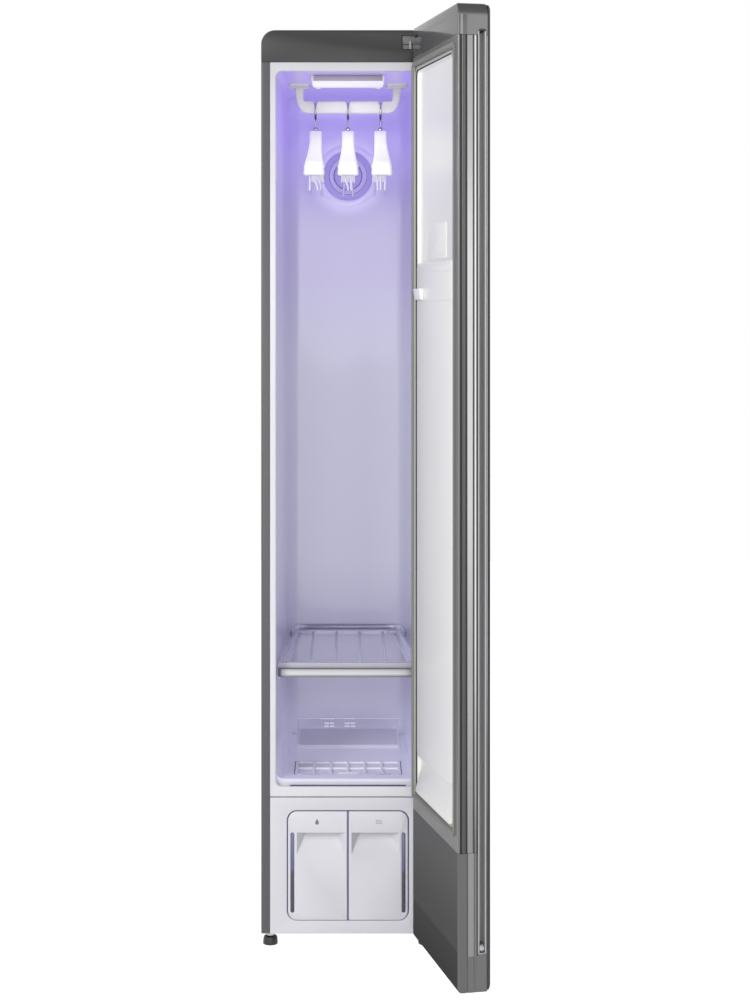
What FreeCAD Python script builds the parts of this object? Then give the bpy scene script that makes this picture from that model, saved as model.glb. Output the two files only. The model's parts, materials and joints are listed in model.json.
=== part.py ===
"""Clothes care steam cabinet: an assembly of separate pieces, in millimetres.

Frame: X to the right, Y towards the back, Z up. The origin is on the floor under the middle of
the cabinet body. The door is modelled about its own hinge line and placed standing open.
"""
import FreeCAD, Part
import math
import operator
import os
import Sketcher

doc = FreeCAD.newDocument("steam_cabinet")

# ---------------------------------------------------------------- driving dimensions
SIZES = [
    # cabinet body
    ("cabinet_width", 350),
    ("cabinet_height", 1850),
    ("cabinet_depth", 511),
    ("foot_height", 30),
    ("cap_height", 65),
    ("cap_corner", 28),
    ("cap_wall", 3),
    ("sheet", 1.2),
    ("bend", 3),
    ("front_return", 18),
    ("return_lip", 12),
    ("seat_gap", 0.5),
    # inner liner, floor and insulation
    ("flange_width", 12),
    ("flange_top", 18),
    ("flange_bottom", 20),
    ("opening_bottom", 326),
    ("liner_wall", 2.5),
    ("liner_draft", 6),
    ("liner_corner", 12),
    ("liner_cove", 40),
    ("back_space", 41),
    ("tray_height", 14),
    ("tray_wall", 3),
    ("tray_front", 10),
    ("floor_foam", 30),
    ("filter_width", 217),
    ("filter_setback", 53),
    ("filter_length", 112),
    ("louvre_width", 222),
    ("louvre_setback", 290),
    ("louvre_length", 118),
    # lower front and water tanks
    ("panel_height", 274),
    ("panel_depth", 14),
    ("panel_wall", 2.5),
    ("tank_margin", 22),
    ("tank_sill", 26),
    ("tank_head", 26),
    ("tank_corner", 20),
    ("tank_depth", 228),
    ("tank_gap", 1.5),
    ("tank_split", 2),
    ("tank_wall", 2.5),
    ("scoop_depth", 26),
    ("scoop_height", 44),
    ("scoop_drop", 43),
    ("scoop_edge", 7),
    ("scoop_end", 20),
    ("scoop_draft", 16),
    ("window_width", 8),
    ("window_drop", 44),
    ("window_rise", 16),
    # lamp, rail, drive
    ("lamp_width", 151),
    ("lamp_depth", 60),
    ("lamp_setback", 60),
    ("lamp_height", 12),
    ("lens_height", 13),
    ("rail_setback", 225),
    ("rail_span", 226),
    ("rail_arm", 17),
    ("rail_bar", 26),
    ("rail_thick", 10),
    ("rail_drop", 62),
    ("rail_taper", 14),
    ("rail_stroke", 7),
    ("slot_gap", 0.8),
    ("rod_size", 8),
    ("rod_pitch", 48),
    ("rod_gap", 0.6),
    ("crank_size", 60),
    ("crank_pin", 8),
    ("pin_play", 2.2),
    ("crank_shaft", 8),
    ("frame_margin", 15),
    ("belt_run", 105),
    ("motor_pulley_size", 28),
    # hangers
    ("hanger_pitch", 69),
    ("hanger_length", 380),
    ("hanger_width", 42),
    ("neck_width", 27),
    ("hook_wire", 4),
    ("hook_bend", 16),
    ("hook_gap", 1.5),
    ("hanger_drop", 96),
    ("notch_depth", 8),
    # round vent
    ("vent_drop", 260),
    ("vent_size", 112),
    ("vent_bore", 82),
    ("vent_cap", 66),
    ("fan_size", 76),
    # feet
    ("foot_inset_x", 17.5),
    ("foot_inset_y", 32),
    ("stud_size", 10),
    # shelf
    ("shelf_level", 558),
    ("shelf_thick", 12),
    ("shelf_setback", 34),
    ("shelf_length", 432),
    ("shelf_rim", 10),
    ("shelf_taper", 24),
    ("slat_pitch", 51.4),
    ("slat", 5),
    ("trim_height", 16),
    ("trim_rise", 2),
    ("ledge_width", 17),
    ("ledge_rear", 33),
    ("trim_depth", 12),
    # door
    ("door_gap", 7.8),
    ("door_corner", 10),
    ("door_thick", 62),
    ("door_open", 102),
    ("hinge_inset", 22),
    ("hinge_depth", 20),
    ("hinge_pin", 10),
    ("pin_gap", 0.6),
    ("hinge_plate", 5),
    ("hinge_arm", 18),
    ("hinge_drop", 20),
    ("hinge_lift", 12),
    ("glass", 5),
    ("door_dish", 12),
    ("gasket_width", 11),
    ("gasket_gap", 0.5),
    ("grip_width", 13),
    ("grip_depth", 22),
    ("grip_margin", 9),
    ("grip_low", 100),
    ("grip_high", 49),
    ("press_low", 400),
    ("press_top", 472),
    ("press_thick", 8),
    ("press_gap", 2),
]


class Dim:
    """A size of the sheet, or a sum worked out from such sizes, with its expression."""

    def __init__(self, value, text):
        self.value = value
        self.text = text

    def __add__(self, other):
        return combine(operator.add, "+", self, other)

    def __radd__(self, other):
        return combine(operator.add, "+", other, self)

    def __sub__(self, other):
        return combine(operator.sub, "-", self, other)

    def __rsub__(self, other):
        return combine(operator.sub, "-", other, self)

    def __mul__(self, other):
        return combine(operator.mul, "*", self, other)

    def __rmul__(self, other):
        return combine(operator.mul, "*", other, self)

    def __truediv__(self, other):
        return combine(operator.truediv, "/", self, other)

    def __neg__(self):
        return combine(operator.mul, "*", -1, self)


def as_dim(number):
    if isinstance(number, Dim):
        return number
    return Dim(float(number), f"({float(number)!r})")


def combine(action, sign, left, right):
    left = as_dim(left)
    right = as_dim(right)
    return Dim(action(left.value, right.value), f"({left.text} {sign} {right.text})")


class Sizes:
    """The sheet's aliases as attributes, each a Dim."""


def make_sheet():
    sheet = doc.addObject("Spreadsheet::Sheet", "sizes")
    named = Sizes()
    for row, (alias, value) in enumerate(SIZES, 1):
        sheet.set(f"A{row}", alias)
        sheet.set(f"B{row}", str(value))
        sheet.setAlias(f"B{row}", alias)
        setattr(named, alias, Dim(float(value), f"sizes.{alias}"))
    doc.recompute()
    return named


S = make_sheet()
SUBPARTS = []

# places that several pieces share
SIDE = S.cabinet_width / 2
FRONT = -S.cabinet_depth / 2
BACK = S.cabinet_depth / 2
BASE = S.foot_height
TOP = S.cabinet_height
SHOULDER = TOP - S.cap_height
OPEN_HALF = SIDE - S.front_return - S.flange_width
FLANGE_HALF = SIDE - S.front_return
CAVITY_FLOOR = S.opening_bottom
CAVITY_TOP = SHOULDER - S.flange_top
CAVITY_BACK = BACK - S.back_space
PANEL_TOP = BASE + S.panel_height
RAIL_Y = FRONT + S.rail_setback
RAIL_LOW = CAVITY_TOP - S.rail_drop
HINGE_X = SIDE - S.hinge_inset
HINGE_Y = FRONT - S.door_gap - S.hinge_depth
FOAM_START = FRONT + S.panel_depth + 1
BAY_HALF = OPEN_HALF - S.tank_margin
BAY_LOW = BASE + S.tank_sill
BAY_HIGH = PANEL_TOP - S.tank_head
SCOOP_NEAR = S.scoop_edge
SCOOP_FAR = BAY_HALF - S.scoop_end
FILTER_HALF = S.filter_width / 2
FILTER_NEAR = FRONT + S.filter_setback
FILTER_FAR = FILTER_NEAR + S.filter_length
LOUVRE_HALF = S.louvre_width / 2
LOUVRE_NEAR = FRONT + S.louvre_setback
LOUVRE_FAR = LOUVRE_NEAR + S.louvre_length
CARRIAGE_LOW = SHOULDER + 5
ROD_Z = CARRIAGE_LOW + 9
CRANK_LOW = ROD_Z + S.rod_size
CRANK_HIGH = CRANK_LOW + 12
SHAFT = S.crank_shaft
FRAME_HALF = SIDE - S.frame_margin
UPRIGHT = as_dim(3)
HOOK_SPOTS = [-S.hanger_pitch, as_dim(0), 1 * S.hanger_pitch]
HOOK_CREST = RAIL_LOW + S.rail_bar - S.notch_depth + S.hook_gap + S.hook_wire / 2
HANGER_TOP = CAVITY_TOP - S.hanger_drop
VENT_Z = TOP - S.vent_drop
FAN_Y = CAVITY_BACK + 12
FAN_RADIUS = S.fan_size / 2
FOOT_STUD = S.stud_size / 2
FOOT_X = SIDE - S.foot_inset_x
FOOT_FRONT = FRONT + S.foot_inset_y
FOOT_BACK = BACK - S.foot_inset_y
FOOT_SPOTS = [(-FOOT_X, FOOT_FRONT), (FOOT_X, FOOT_FRONT), (-FOOT_X, FOOT_BACK), (FOOT_X, FOOT_BACK)]
UPPER_HINGE = TOP - S.hinge_drop
LOWER_HINGE = BASE + S.hinge_lift

# the door's own frame: u along its width from the hinge line, v through its thickness
DOOR_FREE = S.hinge_inset - S.cabinet_width
DOOR_HINGE = S.hinge_inset
DOOR_IN = S.hinge_depth
DOOR_OUT = S.hinge_depth - S.door_thick
GASKET_LINE = OPEN_HALF + S.flange_width / 2
DISH_FREE = -HINGE_X - GASKET_LINE + 10
DISH_HINGE = GASKET_LINE - HINGE_X - 9
DISH_LOW = CAVITY_FLOOR + 3
DISH_HIGH = CAVITY_TOP - 3
GRIP_OUT = DOOR_OUT + S.grip_margin
GRIP_IN = GRIP_OUT + S.grip_width


# ---------------------------------------------------------------- modelling helpers
def in_order(first, second):
    """Two places, the lower one first."""
    return sorted((as_dim(first), as_dim(second)), key=lambda number: number.value)


def bind(thing, path, number):
    thing.setExpression(path, as_dim(number).text)


def new_body(label):
    body = doc.addObject("PartDesign::Body", label)
    body.Label = label
    SUBPARTS.append(body)
    return body


def new_sketch(body, plane, at):
    """A sketch on one of the body's own planes, moved along the plane's axis to the given place."""
    sketch = body.newObject("Sketcher::SketchObject", "outline")
    role = plane + "_Plane"
    support = [feature for feature in body.Origin.OriginFeatures if feature.Role == role][0]
    sketch.AttachmentSupport = [(support, "")]
    sketch.MapMode = "FlatFace"
    offset = -as_dim(at) if plane == "XZ" else as_dim(at)
    bind(sketch, "AttachmentOffset.Base.z", offset)
    return sketch


def tie(sketch, kind, geometry, spot, number):
    """Hold one coordinate of a point, or a radius, at a size."""
    number = as_dim(number)
    if kind == "Radius":
        rule = Sketcher.Constraint(kind, geometry, number.value)
    else:
        rule = Sketcher.Constraint(kind, -1, 1, geometry, spot, number.value)
    index = sketch.addConstraint(rule)
    sketch.setExpression(f"Constraints[{index}]", number.text)


def polygon(*points):
    """A closed outline with straight sides."""
    def draw(sketch):
        first = sketch.GeometryCount
        count = len(points)
        spots = [FreeCAD.Vector(as_dim(a).value, as_dim(b).value, 0) for a, b in points]
        lines = [Part.LineSegment(spots[i], spots[(i + 1) % count]) for i in range(count)]
        sketch.addGeometry(lines, False)
        joints = []
        for i in range(count):
            follower = first + (i + 1) % count
            joints.append(Sketcher.Constraint("Coincident", first + i, 2, follower, 1))
        sketch.addConstraint(joints)
        for i, (a, b) in enumerate(points):
            tie(sketch, "DistanceX", first + i, 1, a)
            tie(sketch, "DistanceY", first + i, 1, b)
    return draw


def rectangle(left, right, low, high):
    return polygon((left, low), (right, low), (right, high), (left, high))


def disc(a, b, radius):
    """A full circle."""
    def draw(sketch):
        centre = FreeCAD.Vector(as_dim(a).value, as_dim(b).value, 0)
        index = sketch.GeometryCount
        circle = Part.Circle(centre, FreeCAD.Vector(0, 0, 1), as_dim(radius).value)
        sketch.addGeometry(circle, False)
        tie(sketch, "DistanceX", index, 3, a)
        tie(sketch, "DistanceY", index, 3, b)
        tie(sketch, "Radius", index, 0, radius)
    return draw


def rounded(left, right, low, high, radius):
    """A rectangle whose four corners are tangent arcs."""
    def draw(sketch):
        first = sketch.GeometryCount
        a, b, c, d, r = [as_dim(n).value for n in (left, right, low, high, radius)]
        centres = [(b - r, c + r), (b - r, d - r), (a + r, d - r), (a + r, c + r)]
        starts = [(a + r, c), (b, c + r), (b - r, d), (a, d - r)]
        ends = [(b - r, c), (b, d - r), (a + r, d), (a, c + r)]
        up = FreeCAD.Vector(0, 0, 1)
        for i in range(4):
            line = Part.LineSegment(FreeCAD.Vector(*starts[i], 0), FreeCAD.Vector(*ends[i], 0))
            sketch.addGeometry(line, False)
            circle = Part.Circle(FreeCAD.Vector(*centres[i], 0), up, r)
            turn = (i - 1) * math.pi / 2
            sketch.addGeometry(Part.ArcOfCircle(circle, turn, turn + math.pi / 2), False)
        rules = []
        for i in range(4):
            line = first + 2 * i
            follower = first + (2 * i + 2) % 8
            rules.append(Sketcher.Constraint("Tangent", line, 2, line + 1, 1))
            rules.append(Sketcher.Constraint("Tangent", line + 1, 2, follower, 1))
            rules.append(Sketcher.Constraint("Horizontal" if i % 2 == 0 else "Vertical", line))
        for i in range(3):
            rules.append(Sketcher.Constraint("Equal", first + 1, first + 3 + 2 * i))
        sketch.addConstraint(rules)
        tie(sketch, "Radius", first + 1, 0, radius)
        tie(sketch, "DistanceY", first, 1, low)
        tie(sketch, "DistanceX", first + 2, 1, right)
        tie(sketch, "DistanceY", first + 4, 1, high)
        tie(sketch, "DistanceX", first + 6, 1, left)
    return draw


def grow(body, plane, start, end, *outlines):
    """Add material over the outlines, from start to end along the plane's axis."""
    sketch = new_sketch(body, plane, start)
    for draw in outlines:
        draw(sketch)
    pad = body.newObject("PartDesign::Pad", "pad")
    pad.Profile = sketch
    bind(pad, "Length", as_dim(end) - start)
    pad.Reversed = plane == "XZ"
    body.Tip = pad
    return pad


def carve(body, plane, start, end, *outlines):
    """Take material away over the outlines, from start to end along the plane's axis."""
    sketch = new_sketch(body, plane, start)
    for draw in outlines:
        draw(sketch)
    pocket = body.newObject("PartDesign::Pocket", "pocket")
    pocket.Profile = sketch
    bind(pocket, "Length", as_dim(end) - start)
    pocket.Reversed = plane != "XZ"
    body.Tip = pocket
    return pocket


def repeat(body, feature, axis, span, count):
    """Repeat a pad or pocket in a straight row."""
    pattern = body.newObject("PartDesign::LinearPattern", "row")
    pattern.Originals = [feature]
    role = axis + "_Axis"
    line = [item for item in body.Origin.OriginFeatures if item.Role == role][0]
    pattern.Direction = (line, [""])
    bind(pattern, "Length", span)
    pattern.Occurrences = count
    body.Tip = pattern
    return pattern


def revolve(body, *outlines, cut=False):
    """Turn outlines drawn in the XZ plane about the body's Z axis."""
    sketch = new_sketch(body, "XZ", 0)
    for draw in outlines:
        draw(sketch)
    feature = body.newObject("PartDesign::Groove" if cut else "PartDesign::Revolution", "turned")
    feature.Profile = sketch
    feature.ReferenceAxis = (sketch, ["V_Axis"])
    feature.Angle = 360
    body.Tip = feature
    return feature


def edges_along(body, axis, *places):
    """Names of straight edges parallel to an axis that pass through given places.

    Each place is a dict such as {"x": -SIDE, "z": TOP}.
    """
    doc.recompute()
    names = []
    for index, edge in enumerate(body.Tip.Shape.Edges, 1):
        if edge.Curve.TypeId != "Part::GeomLine":
            continue
        direction = edge.tangentAt(edge.FirstParameter)
        if abs(getattr(direction, axis)) < 0.999:
            continue
        middle = edge.CenterOfMass
        for place in places:
            if all(abs(getattr(middle, key) - as_dim(n).value) < 0.05 for key, n in place.items()):
                names.append(f"Edge{index}")
                break
    return names


def round_off(body, radius, names):
    if not names:
        raise RuntimeError(f"{body.Label}: no edge to round")
    base = body.Tip
    fillet = body.newObject("PartDesign::Fillet", "rounding")
    fillet.Base = (base, names)
    bind(fillet, "Radius", radius)
    body.Tip = fillet
    return fillet


def place(body, x, y, z):
    bind(body, "Placement.Base.x", x)
    bind(body, "Placement.Base.y", y)
    bind(body, "Placement.Base.z", z)


def on_door(body):
    """Stand a door piece, drawn about the hinge line with the door shut, at the open angle."""
    body.Placement = FreeCAD.Placement(FreeCAD.Vector(), FreeCAD.Rotation(FreeCAD.Vector(0, 0, 1), 1))
    place(body, HINGE_X, HINGE_Y, 0)
    bind(body, "Placement.Rotation.Angle", S.door_open)


# ---------------------------------------------------------------- cabinet body
def side_panel(label, side):
    """Folded sheet side with a front return, its lip, and a return behind for the back panel."""
    body = new_body(label)
    t = S.sheet
    outer = side * SIDE
    inner = side * (SIDE - t)
    front_edge = side * (SIDE - S.front_return)
    lip = side * (SIDE - S.front_return + t)
    back_edge = side * (SIDE - S.return_lip)
    grow(body, "XY", BASE, SHOULDER, polygon(
        (outer, FRONT), (front_edge, FRONT), (front_edge, FRONT + S.return_lip),
        (lip, FRONT + S.return_lip), (lip, FRONT + t), (inner, FRONT + t),
        (inner, BACK - 2 * t), (back_edge, BACK - 2 * t), (back_edge, BACK - t), (outer, BACK - t)))
    round_off(body, S.bend, edges_along(body, "z", {"x": outer, "y": FRONT}))
    round_off(body, S.bend - t, edges_along(body, "z", {"x": inner, "y": FRONT + t}))


def top_cover():
    """Moulded cap with the dark fascia, rounded shoulders and the slot of the upper hinge."""
    body = new_body("top_cover")
    wall = S.cap_wall
    grow(body, "XY", SHOULDER, TOP, rectangle(-SIDE, SIDE, FRONT, BACK))
    round_off(body, S.cap_corner, edges_along(
        body, "y", {"x": -SIDE, "z": TOP}, {"x": SIDE, "z": TOP}))
    inner = SIDE - wall
    shy = S.cap_corner - wall
    carve(body, "XZ", FRONT + wall, BACK - wall, polygon(
        (-inner, SHOULDER - 1), (inner, SHOULDER - 1), (inner, TOP - wall - shy),
        (inner - shy, TOP - wall), (shy - inner, TOP - wall), (-inner, TOP - wall - shy)))
    carve(body, "XZ", FRONT - 1, FRONT + wall + 1, rectangle(
        HINGE_X - S.hinge_arm - 26, HINGE_X - 6, UPPER_HINGE - 19, UPPER_HINGE + S.hinge_plate + 4))


def back_panel():
    """Sheet back with a block of cooling slots behind the machine space."""
    body = new_body("back_panel")
    grow(body, "XY", BASE, SHOULDER, rectangle(-SIDE, SIDE, BACK - S.sheet, BACK))
    slot = carve(body, "XZ", BACK - S.sheet - 1, BACK + 1,
                 rectangle(-SIDE + 60, SIDE - 60, BASE + 50, BASE + 54))
    repeat(body, slot, "Z", 84, 8)


def base_pan():
    """Folded pan that the sides stand on, with a square weld nut for each foot."""
    body = new_body("base_pan")
    t = 1.5
    near = FRONT + S.panel_depth + 1
    far = BACK - 2 * S.sheet
    half = SIDE - S.sheet
    rim = BASE + 22
    grow(body, "YZ", -half, half, polygon(
        (near, BASE), (far, BASE), (far, rim), (far - t, rim),
        (far - t, BASE + t), (near + t, BASE + t), (near + t, rim), (near, rim)))
    reach = FOOT_STUD + 7
    nuts = [rectangle(x - reach, x + reach, y - reach, y + reach) for x, y in FOOT_SPOTS]
    grow(body, "XY", BASE, BASE + 16, *nuts)
    bores = [disc(x, y, FOOT_STUD + 0.4) for x, y in FOOT_SPOTS]
    carve(body, "XY", BASE - 1, BASE + 17, *bores)


def liner_plan(grown):
    """Plan of the cavity, tapering to the back, grown outwards by a margin."""
    near = OPEN_HALF + grown
    far = OPEN_HALF - S.liner_draft + grown
    return near, far


def inner_liner():
    """One-piece tub with a draft, coved corners, a front flange and its openings."""
    body = new_body("inner_liner")
    wall = S.liner_wall
    rear = CAVITY_BACK + wall
    low = CAVITY_FLOOR - wall
    high = CAVITY_TOP + wall
    near, far = liner_plan(wall)
    grow(body, "XY", low, high, polygon((-near, FRONT), (near, FRONT), (far, rear), (-far, rear)))
    near, far = liner_plan(0)
    carve(body, "XY", CAVITY_FLOOR, CAVITY_TOP, polygon(
        (-near, FRONT - 1), (near, FRONT - 1), (far, CAVITY_BACK), (-far, CAVITY_BACK)))
    round_off(body, S.liner_cove - wall, edges_along(body, "x", {"y": CAVITY_BACK, "z": CAVITY_FLOOR}))
    round_off(body, S.liner_cove, edges_along(body, "x", {"y": rear, "z": low}))
    grow(body, "XZ", FRONT, FRONT + wall,
         rectangle(-FLANGE_HALF, FLANGE_HALF, CAVITY_FLOOR - S.flange_bottom, SHOULDER),
         rounded(-OPEN_HALF, OPEN_HALF, CAVITY_FLOOR, CAVITY_TOP, S.liner_corner))
    carve(body, "XZ", CAVITY_BACK - 1, rear + 1, disc(0, VENT_Z, S.vent_bore / 2 + 2))
    carve(body, "XY", CAVITY_TOP - 1, high + 1, *arm_slots(0))
    carve(body, "XY", low - 1, CAVITY_FLOOR + 1, *floor_ports(0))


def arm_slots(margin):
    """Plan of the two slots that the rail's arms pass through."""
    reach = S.rail_span / 2
    left = reach - S.rail_arm - S.rail_stroke - S.slot_gap - margin
    right = reach + S.rail_stroke + S.slot_gap + margin
    deep = S.rail_thick / 2 + 2 + margin
    return [rectangle(-right, -left, RAIL_Y - deep, RAIL_Y + deep),
            rectangle(left, right, RAIL_Y - deep, RAIL_Y + deep)]


def floor_ports(margin):
    """Plan of the air inlet under the lint filter and the outlet under the louvre."""
    return [rectangle(-FILTER_HALF + 8 - margin, FILTER_HALF - 8 + margin,
                      FILTER_NEAR + 8 - margin, FILTER_FAR - 8 + margin),
            rectangle(-LOUVRE_HALF + 8 - margin, LOUVRE_HALF - 8 + margin,
                      LOUVRE_NEAR + 8 - margin, LOUVRE_FAR - 8 + margin)]


def foam_walls():
    """Foam slabs at the left, right and back of the liner."""
    body = new_body("foam_walls")
    near, far = liner_plan(S.liner_wall + S.seat_gap)
    start = FOAM_START
    end = CAVITY_BACK + S.liner_wall + S.seat_gap
    outside = SIDE - S.sheet
    low = CAVITY_FLOOR - S.floor_foam
    slope = S.liner_draft / (CAVITY_BACK - FRONT)
    at_start = near - slope * (start - FRONT)
    rear = BACK - 2 * S.sheet
    grow(body, "XY", low, SHOULDER,
         polygon((-outside, start), (-at_start, start), (-far, end), (-far, rear), (-outside, rear)),
         polygon((outside, start), (outside, rear), (far, rear), (far, end), (at_start, start)))
    grow(body, "XY", low, SHOULDER, rectangle(S.seat_gap - far, far - S.seat_gap, end, rear))
    carve(body, "XZ", end - 1, rear + 1, disc(0, VENT_Z, S.vent_bore / 2 + 4))


def foam_top():
    """Foam slab over the liner, cut out for the rail's arms and the lamp lead."""
    body = new_body("foam_top")
    near, far = liner_plan(0)
    low = CAVITY_TOP + S.liner_wall + S.seat_gap
    grow(body, "XY", low, SHOULDER, rectangle(
        -far - S.liner_wall, far + S.liner_wall, FOAM_START, CAVITY_BACK))
    carve(body, "XY", low - 1, SHOULDER + 1, *arm_slots(2))


def foam_floor():
    """Insulated deck under the liner that carries the cavity, with its two air ports."""
    body = new_body("foam_floor")
    low = CAVITY_FLOOR - S.floor_foam
    high = CAVITY_FLOOR - S.liner_wall - S.seat_gap
    far = OPEN_HALF - S.liner_draft
    grow(body, "XY", low, high, rectangle(-far, far, FOAM_START, CAVITY_BACK))
    carve(body, "XY", low - 1, high + 1, *floor_ports(2))


def floor_tray():
    """Loose moulded floor with the seats of the lint filter and the louvre."""
    body = new_body("floor_tray")
    near = OPEN_HALF - S.liner_corner
    far = near - S.liner_draft
    start = FRONT + S.tray_front
    end = CAVITY_BACK - S.liner_cove
    top = CAVITY_FLOOR + S.tray_height
    grow(body, "XY", CAVITY_FLOOR, top, polygon((-near, start), (near, start), (far, end), (-far, end)))
    round_off(body, 6, edges_along(body, "x", {"y": start, "z": top}))
    w = S.tray_wall
    carve(body, "XY", CAVITY_FLOOR - 1, top - w, polygon(
        (w - near, start + w), (near - w, start + w), (far - w, end - w), (w - far, end - w)))
    grow(body, "XY", CAVITY_FLOOR, top - w, *[
        rectangle(x - 2, x + 2, start + w - 1, end - w + 1)
        for x in (FILTER_HALF + 2, -FILTER_HALF - 2)])
    carve(body, "XY", top - w - 1, top + 1,
          rectangle(-FILTER_HALF - 0.5, FILTER_HALF + 0.5, FILTER_NEAR - 0.5, FILTER_FAR + 0.5),
          rectangle(-LOUVRE_HALF + 6, LOUVRE_HALF - 6, LOUVRE_NEAR + 6, LOUVRE_FAR - 6))
    ledge = 5
    grow(body, "XY", top - 8, top - 5, rectangle(
        -FILTER_HALF - 2, FILTER_HALF + 2, FILTER_NEAR - ledge, FILTER_NEAR + ledge))
    grow(body, "XY", top - 8, top - 5, rectangle(
        -FILTER_HALF - 2, FILTER_HALF + 2, FILTER_FAR - ledge, FILTER_FAR + ledge))


def floor_vent():
    """Louvre of slanted slats in a frame, with a rounded rail along its front."""
    body = new_body("floor_vent")
    low = CAVITY_FLOOR + S.tray_height
    grow(body, "XY", low, low + 3,
         rectangle(-LOUVRE_HALF, LOUVRE_HALF, LOUVRE_NEAR, LOUVRE_FAR),
         rectangle(-LOUVRE_HALF + 6, LOUVRE_HALF - 6, LOUVRE_NEAR + 6, LOUVRE_FAR - 6))
    grow(body, "YZ", -LOUVRE_HALF, LOUVRE_HALF, rectangle(
        LOUVRE_NEAR, LOUVRE_NEAR + 6, low + 3, low + 7))
    y = LOUVRE_NEAR + 10
    slat = grow(body, "YZ", -LOUVRE_HALF + 2, LOUVRE_HALF - 2, polygon(
        (y, low), (y + 2.5, low), (y + 9, low + 6), (y + 6.5, low + 6)))
    repeat(body, slat, "Y", LOUVRE_FAR - LOUVRE_NEAR - 24, 10)


def lint_filter():
    """Lift-out filter: a frame with two rows of six cells over a fine screen."""
    body = new_body("lint_filter")
    top = CAVITY_FLOOR + S.tray_height
    low = top - S.tray_wall - 2
    wide = FILTER_HALF * 2
    grow(body, "XY", low, top, rectangle(-FILTER_HALF, FILTER_HALF, FILTER_NEAR, FILTER_FAR))
    rim = 5
    bar = 4
    cell = (wide - 2 * rim - 5 * bar) / 6
    depth = (FILTER_FAR - FILTER_NEAR - 2 * rim - bar) / 2
    for row in range(2):
        y = FILTER_NEAR + rim + row * (depth + bar)
        hole = carve(body, "XY", low + 1, top + 1, rectangle(
            -FILTER_HALF + rim, -FILTER_HALF + rim + cell, y, y + depth))
        repeat(body, hole, "X", (cell + bar) * 5, 6)
    grow(body, "XY", top, top + 2, rectangle(-22, 22, FILTER_NEAR + 0.5, FILTER_NEAR + rim))


def lower_front_panel():
    """White front under the cavity, folded back at its rim, open for the two tanks."""
    body = new_body("lower_front_panel")
    w = S.panel_wall
    grow(body, "XZ", FRONT, FRONT + S.panel_depth, rectangle(-FLANGE_HALF, FLANGE_HALF, BASE, PANEL_TOP))
    carve(body, "XZ", FRONT + w, FRONT + S.panel_depth + 1,
          rectangle(w - FLANGE_HALF, FLANGE_HALF - w, BASE + w, PANEL_TOP - w))
    carve(body, "XZ", FRONT - 1, FRONT + w + 1,
          rounded(-BAY_HALF, BAY_HALF, BAY_LOW, BAY_HIGH, S.tank_corner))
    carve(body, "XZ", FRONT - 1, FRONT + w + 1, rectangle(
        HINGE_X - S.hinge_arm - 4, HINGE_X - 6, LOWER_HINGE - 2, LOWER_HINGE + S.hinge_plate + 2))


def tank_bay():
    """Open-fronted box that guides both tanks, with a low runner under each."""
    body = new_body("tank_bay")
    t = 2
    start = FRONT + 2.5
    end = FRONT + S.tank_depth + 6
    grow(body, "XZ", start, end, rectangle(-BAY_HALF - t, BAY_HALF + t, BAY_LOW - t, BAY_HIGH + t))
    carve(body, "XZ", start - 1, end - t, rectangle(-BAY_HALF, BAY_HALF, BAY_LOW, BAY_HIGH))


def tank(name, side):
    """Hollow water tank with a finger scoop and a level window slot, open at the top."""
    body = new_body(f"{name}_tank")
    inner = S.tank_split / 2
    outer = BAY_HALF - S.tank_gap
    low = BAY_LOW + 0.5
    high = BAY_HIGH - S.tank_gap
    end = FRONT + S.tank_depth
    w = S.tank_wall
    grow(body, "XZ", FRONT, end, rectangle(side * inner, side * outer, low, high))
    round_off(body, S.tank_corner - S.tank_gap, edges_along(
        body, "y", {"x": side * outer, "z": low}, {"x": side * outer, "z": high}))
    block = FRONT + S.scoop_depth + 2 * w
    carve(body, "XZ", block, end - w, rounded(
        *in_order(side * (inner + w), side * (outer - w)), low + w, high - w,
        S.tank_corner - S.tank_gap - w))
    carve(body, "XY", high - w - 1, high + 1, rectangle(
        *in_order(side * (inner + 26), side * (outer - 26)), block + 20, block + 110))
    scoop_top = high - S.scoop_drop
    hollow(body, scoop_outline(side, scoop_top, -1), FRONT - 1,
           scoop_outline(side, scoop_top, 1 * S.scoop_depth), FRONT + S.scoop_depth)
    carve(body, "XZ", FRONT - 1, FRONT + 3, window_outline(side, 0))


def scoop_outline(side, top, deep):
    """Section of the finger scoop at a depth: its ends and its floor draw in as it goes back."""
    share = as_dim(deep) / S.scoop_depth
    ends = in_order(side * (SCOOP_NEAR + S.scoop_draft * share), side * (SCOOP_FAR - S.scoop_draft * share))
    roll = 8
    return rectangle(*ends, top - S.scoop_height + (S.scoop_height - roll) * share, top)


def hollow(body, first, start, second, end):
    """Take away the straight-sided space between two outlines on XZ planes."""
    front = new_sketch(body, "XZ", start)
    first(front)
    rear = new_sketch(body, "XZ", end)
    second(rear)
    loft = body.newObject("PartDesign::SubtractiveLoft", "hollow")
    loft.Profile = front
    loft.Sections = [rear]
    loft.Ruled = True
    body.Tip = loft


def window_outline(side, shrink):
    """Upright pill near the outer edge of a tank."""
    middle = side * (BAY_HALF - S.tank_gap - 9.5)
    half = S.window_width / 2 - shrink
    low = BAY_LOW + S.window_rise + shrink
    high = BAY_HIGH - S.window_drop - shrink
    return rounded(middle - half, middle + half, low, high, half - 0.05)


def tank_window(name, side):
    """Clear strip let into the tank front."""
    body = new_body(f"{name}_tank_window")
    grow(body, "XZ", FRONT + 0.4, FRONT + 3, window_outline(side, 0.2))


def lamp_housing():
    """Metallic lamp base under the ceiling."""
    body = new_body("lamp_housing")
    half = S.lamp_width / 2
    start = FRONT + S.lamp_setback
    grow(body, "XY", CAVITY_TOP - S.lamp_height, CAVITY_TOP,
         rectangle(-half, half, start, start + S.lamp_depth))


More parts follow.
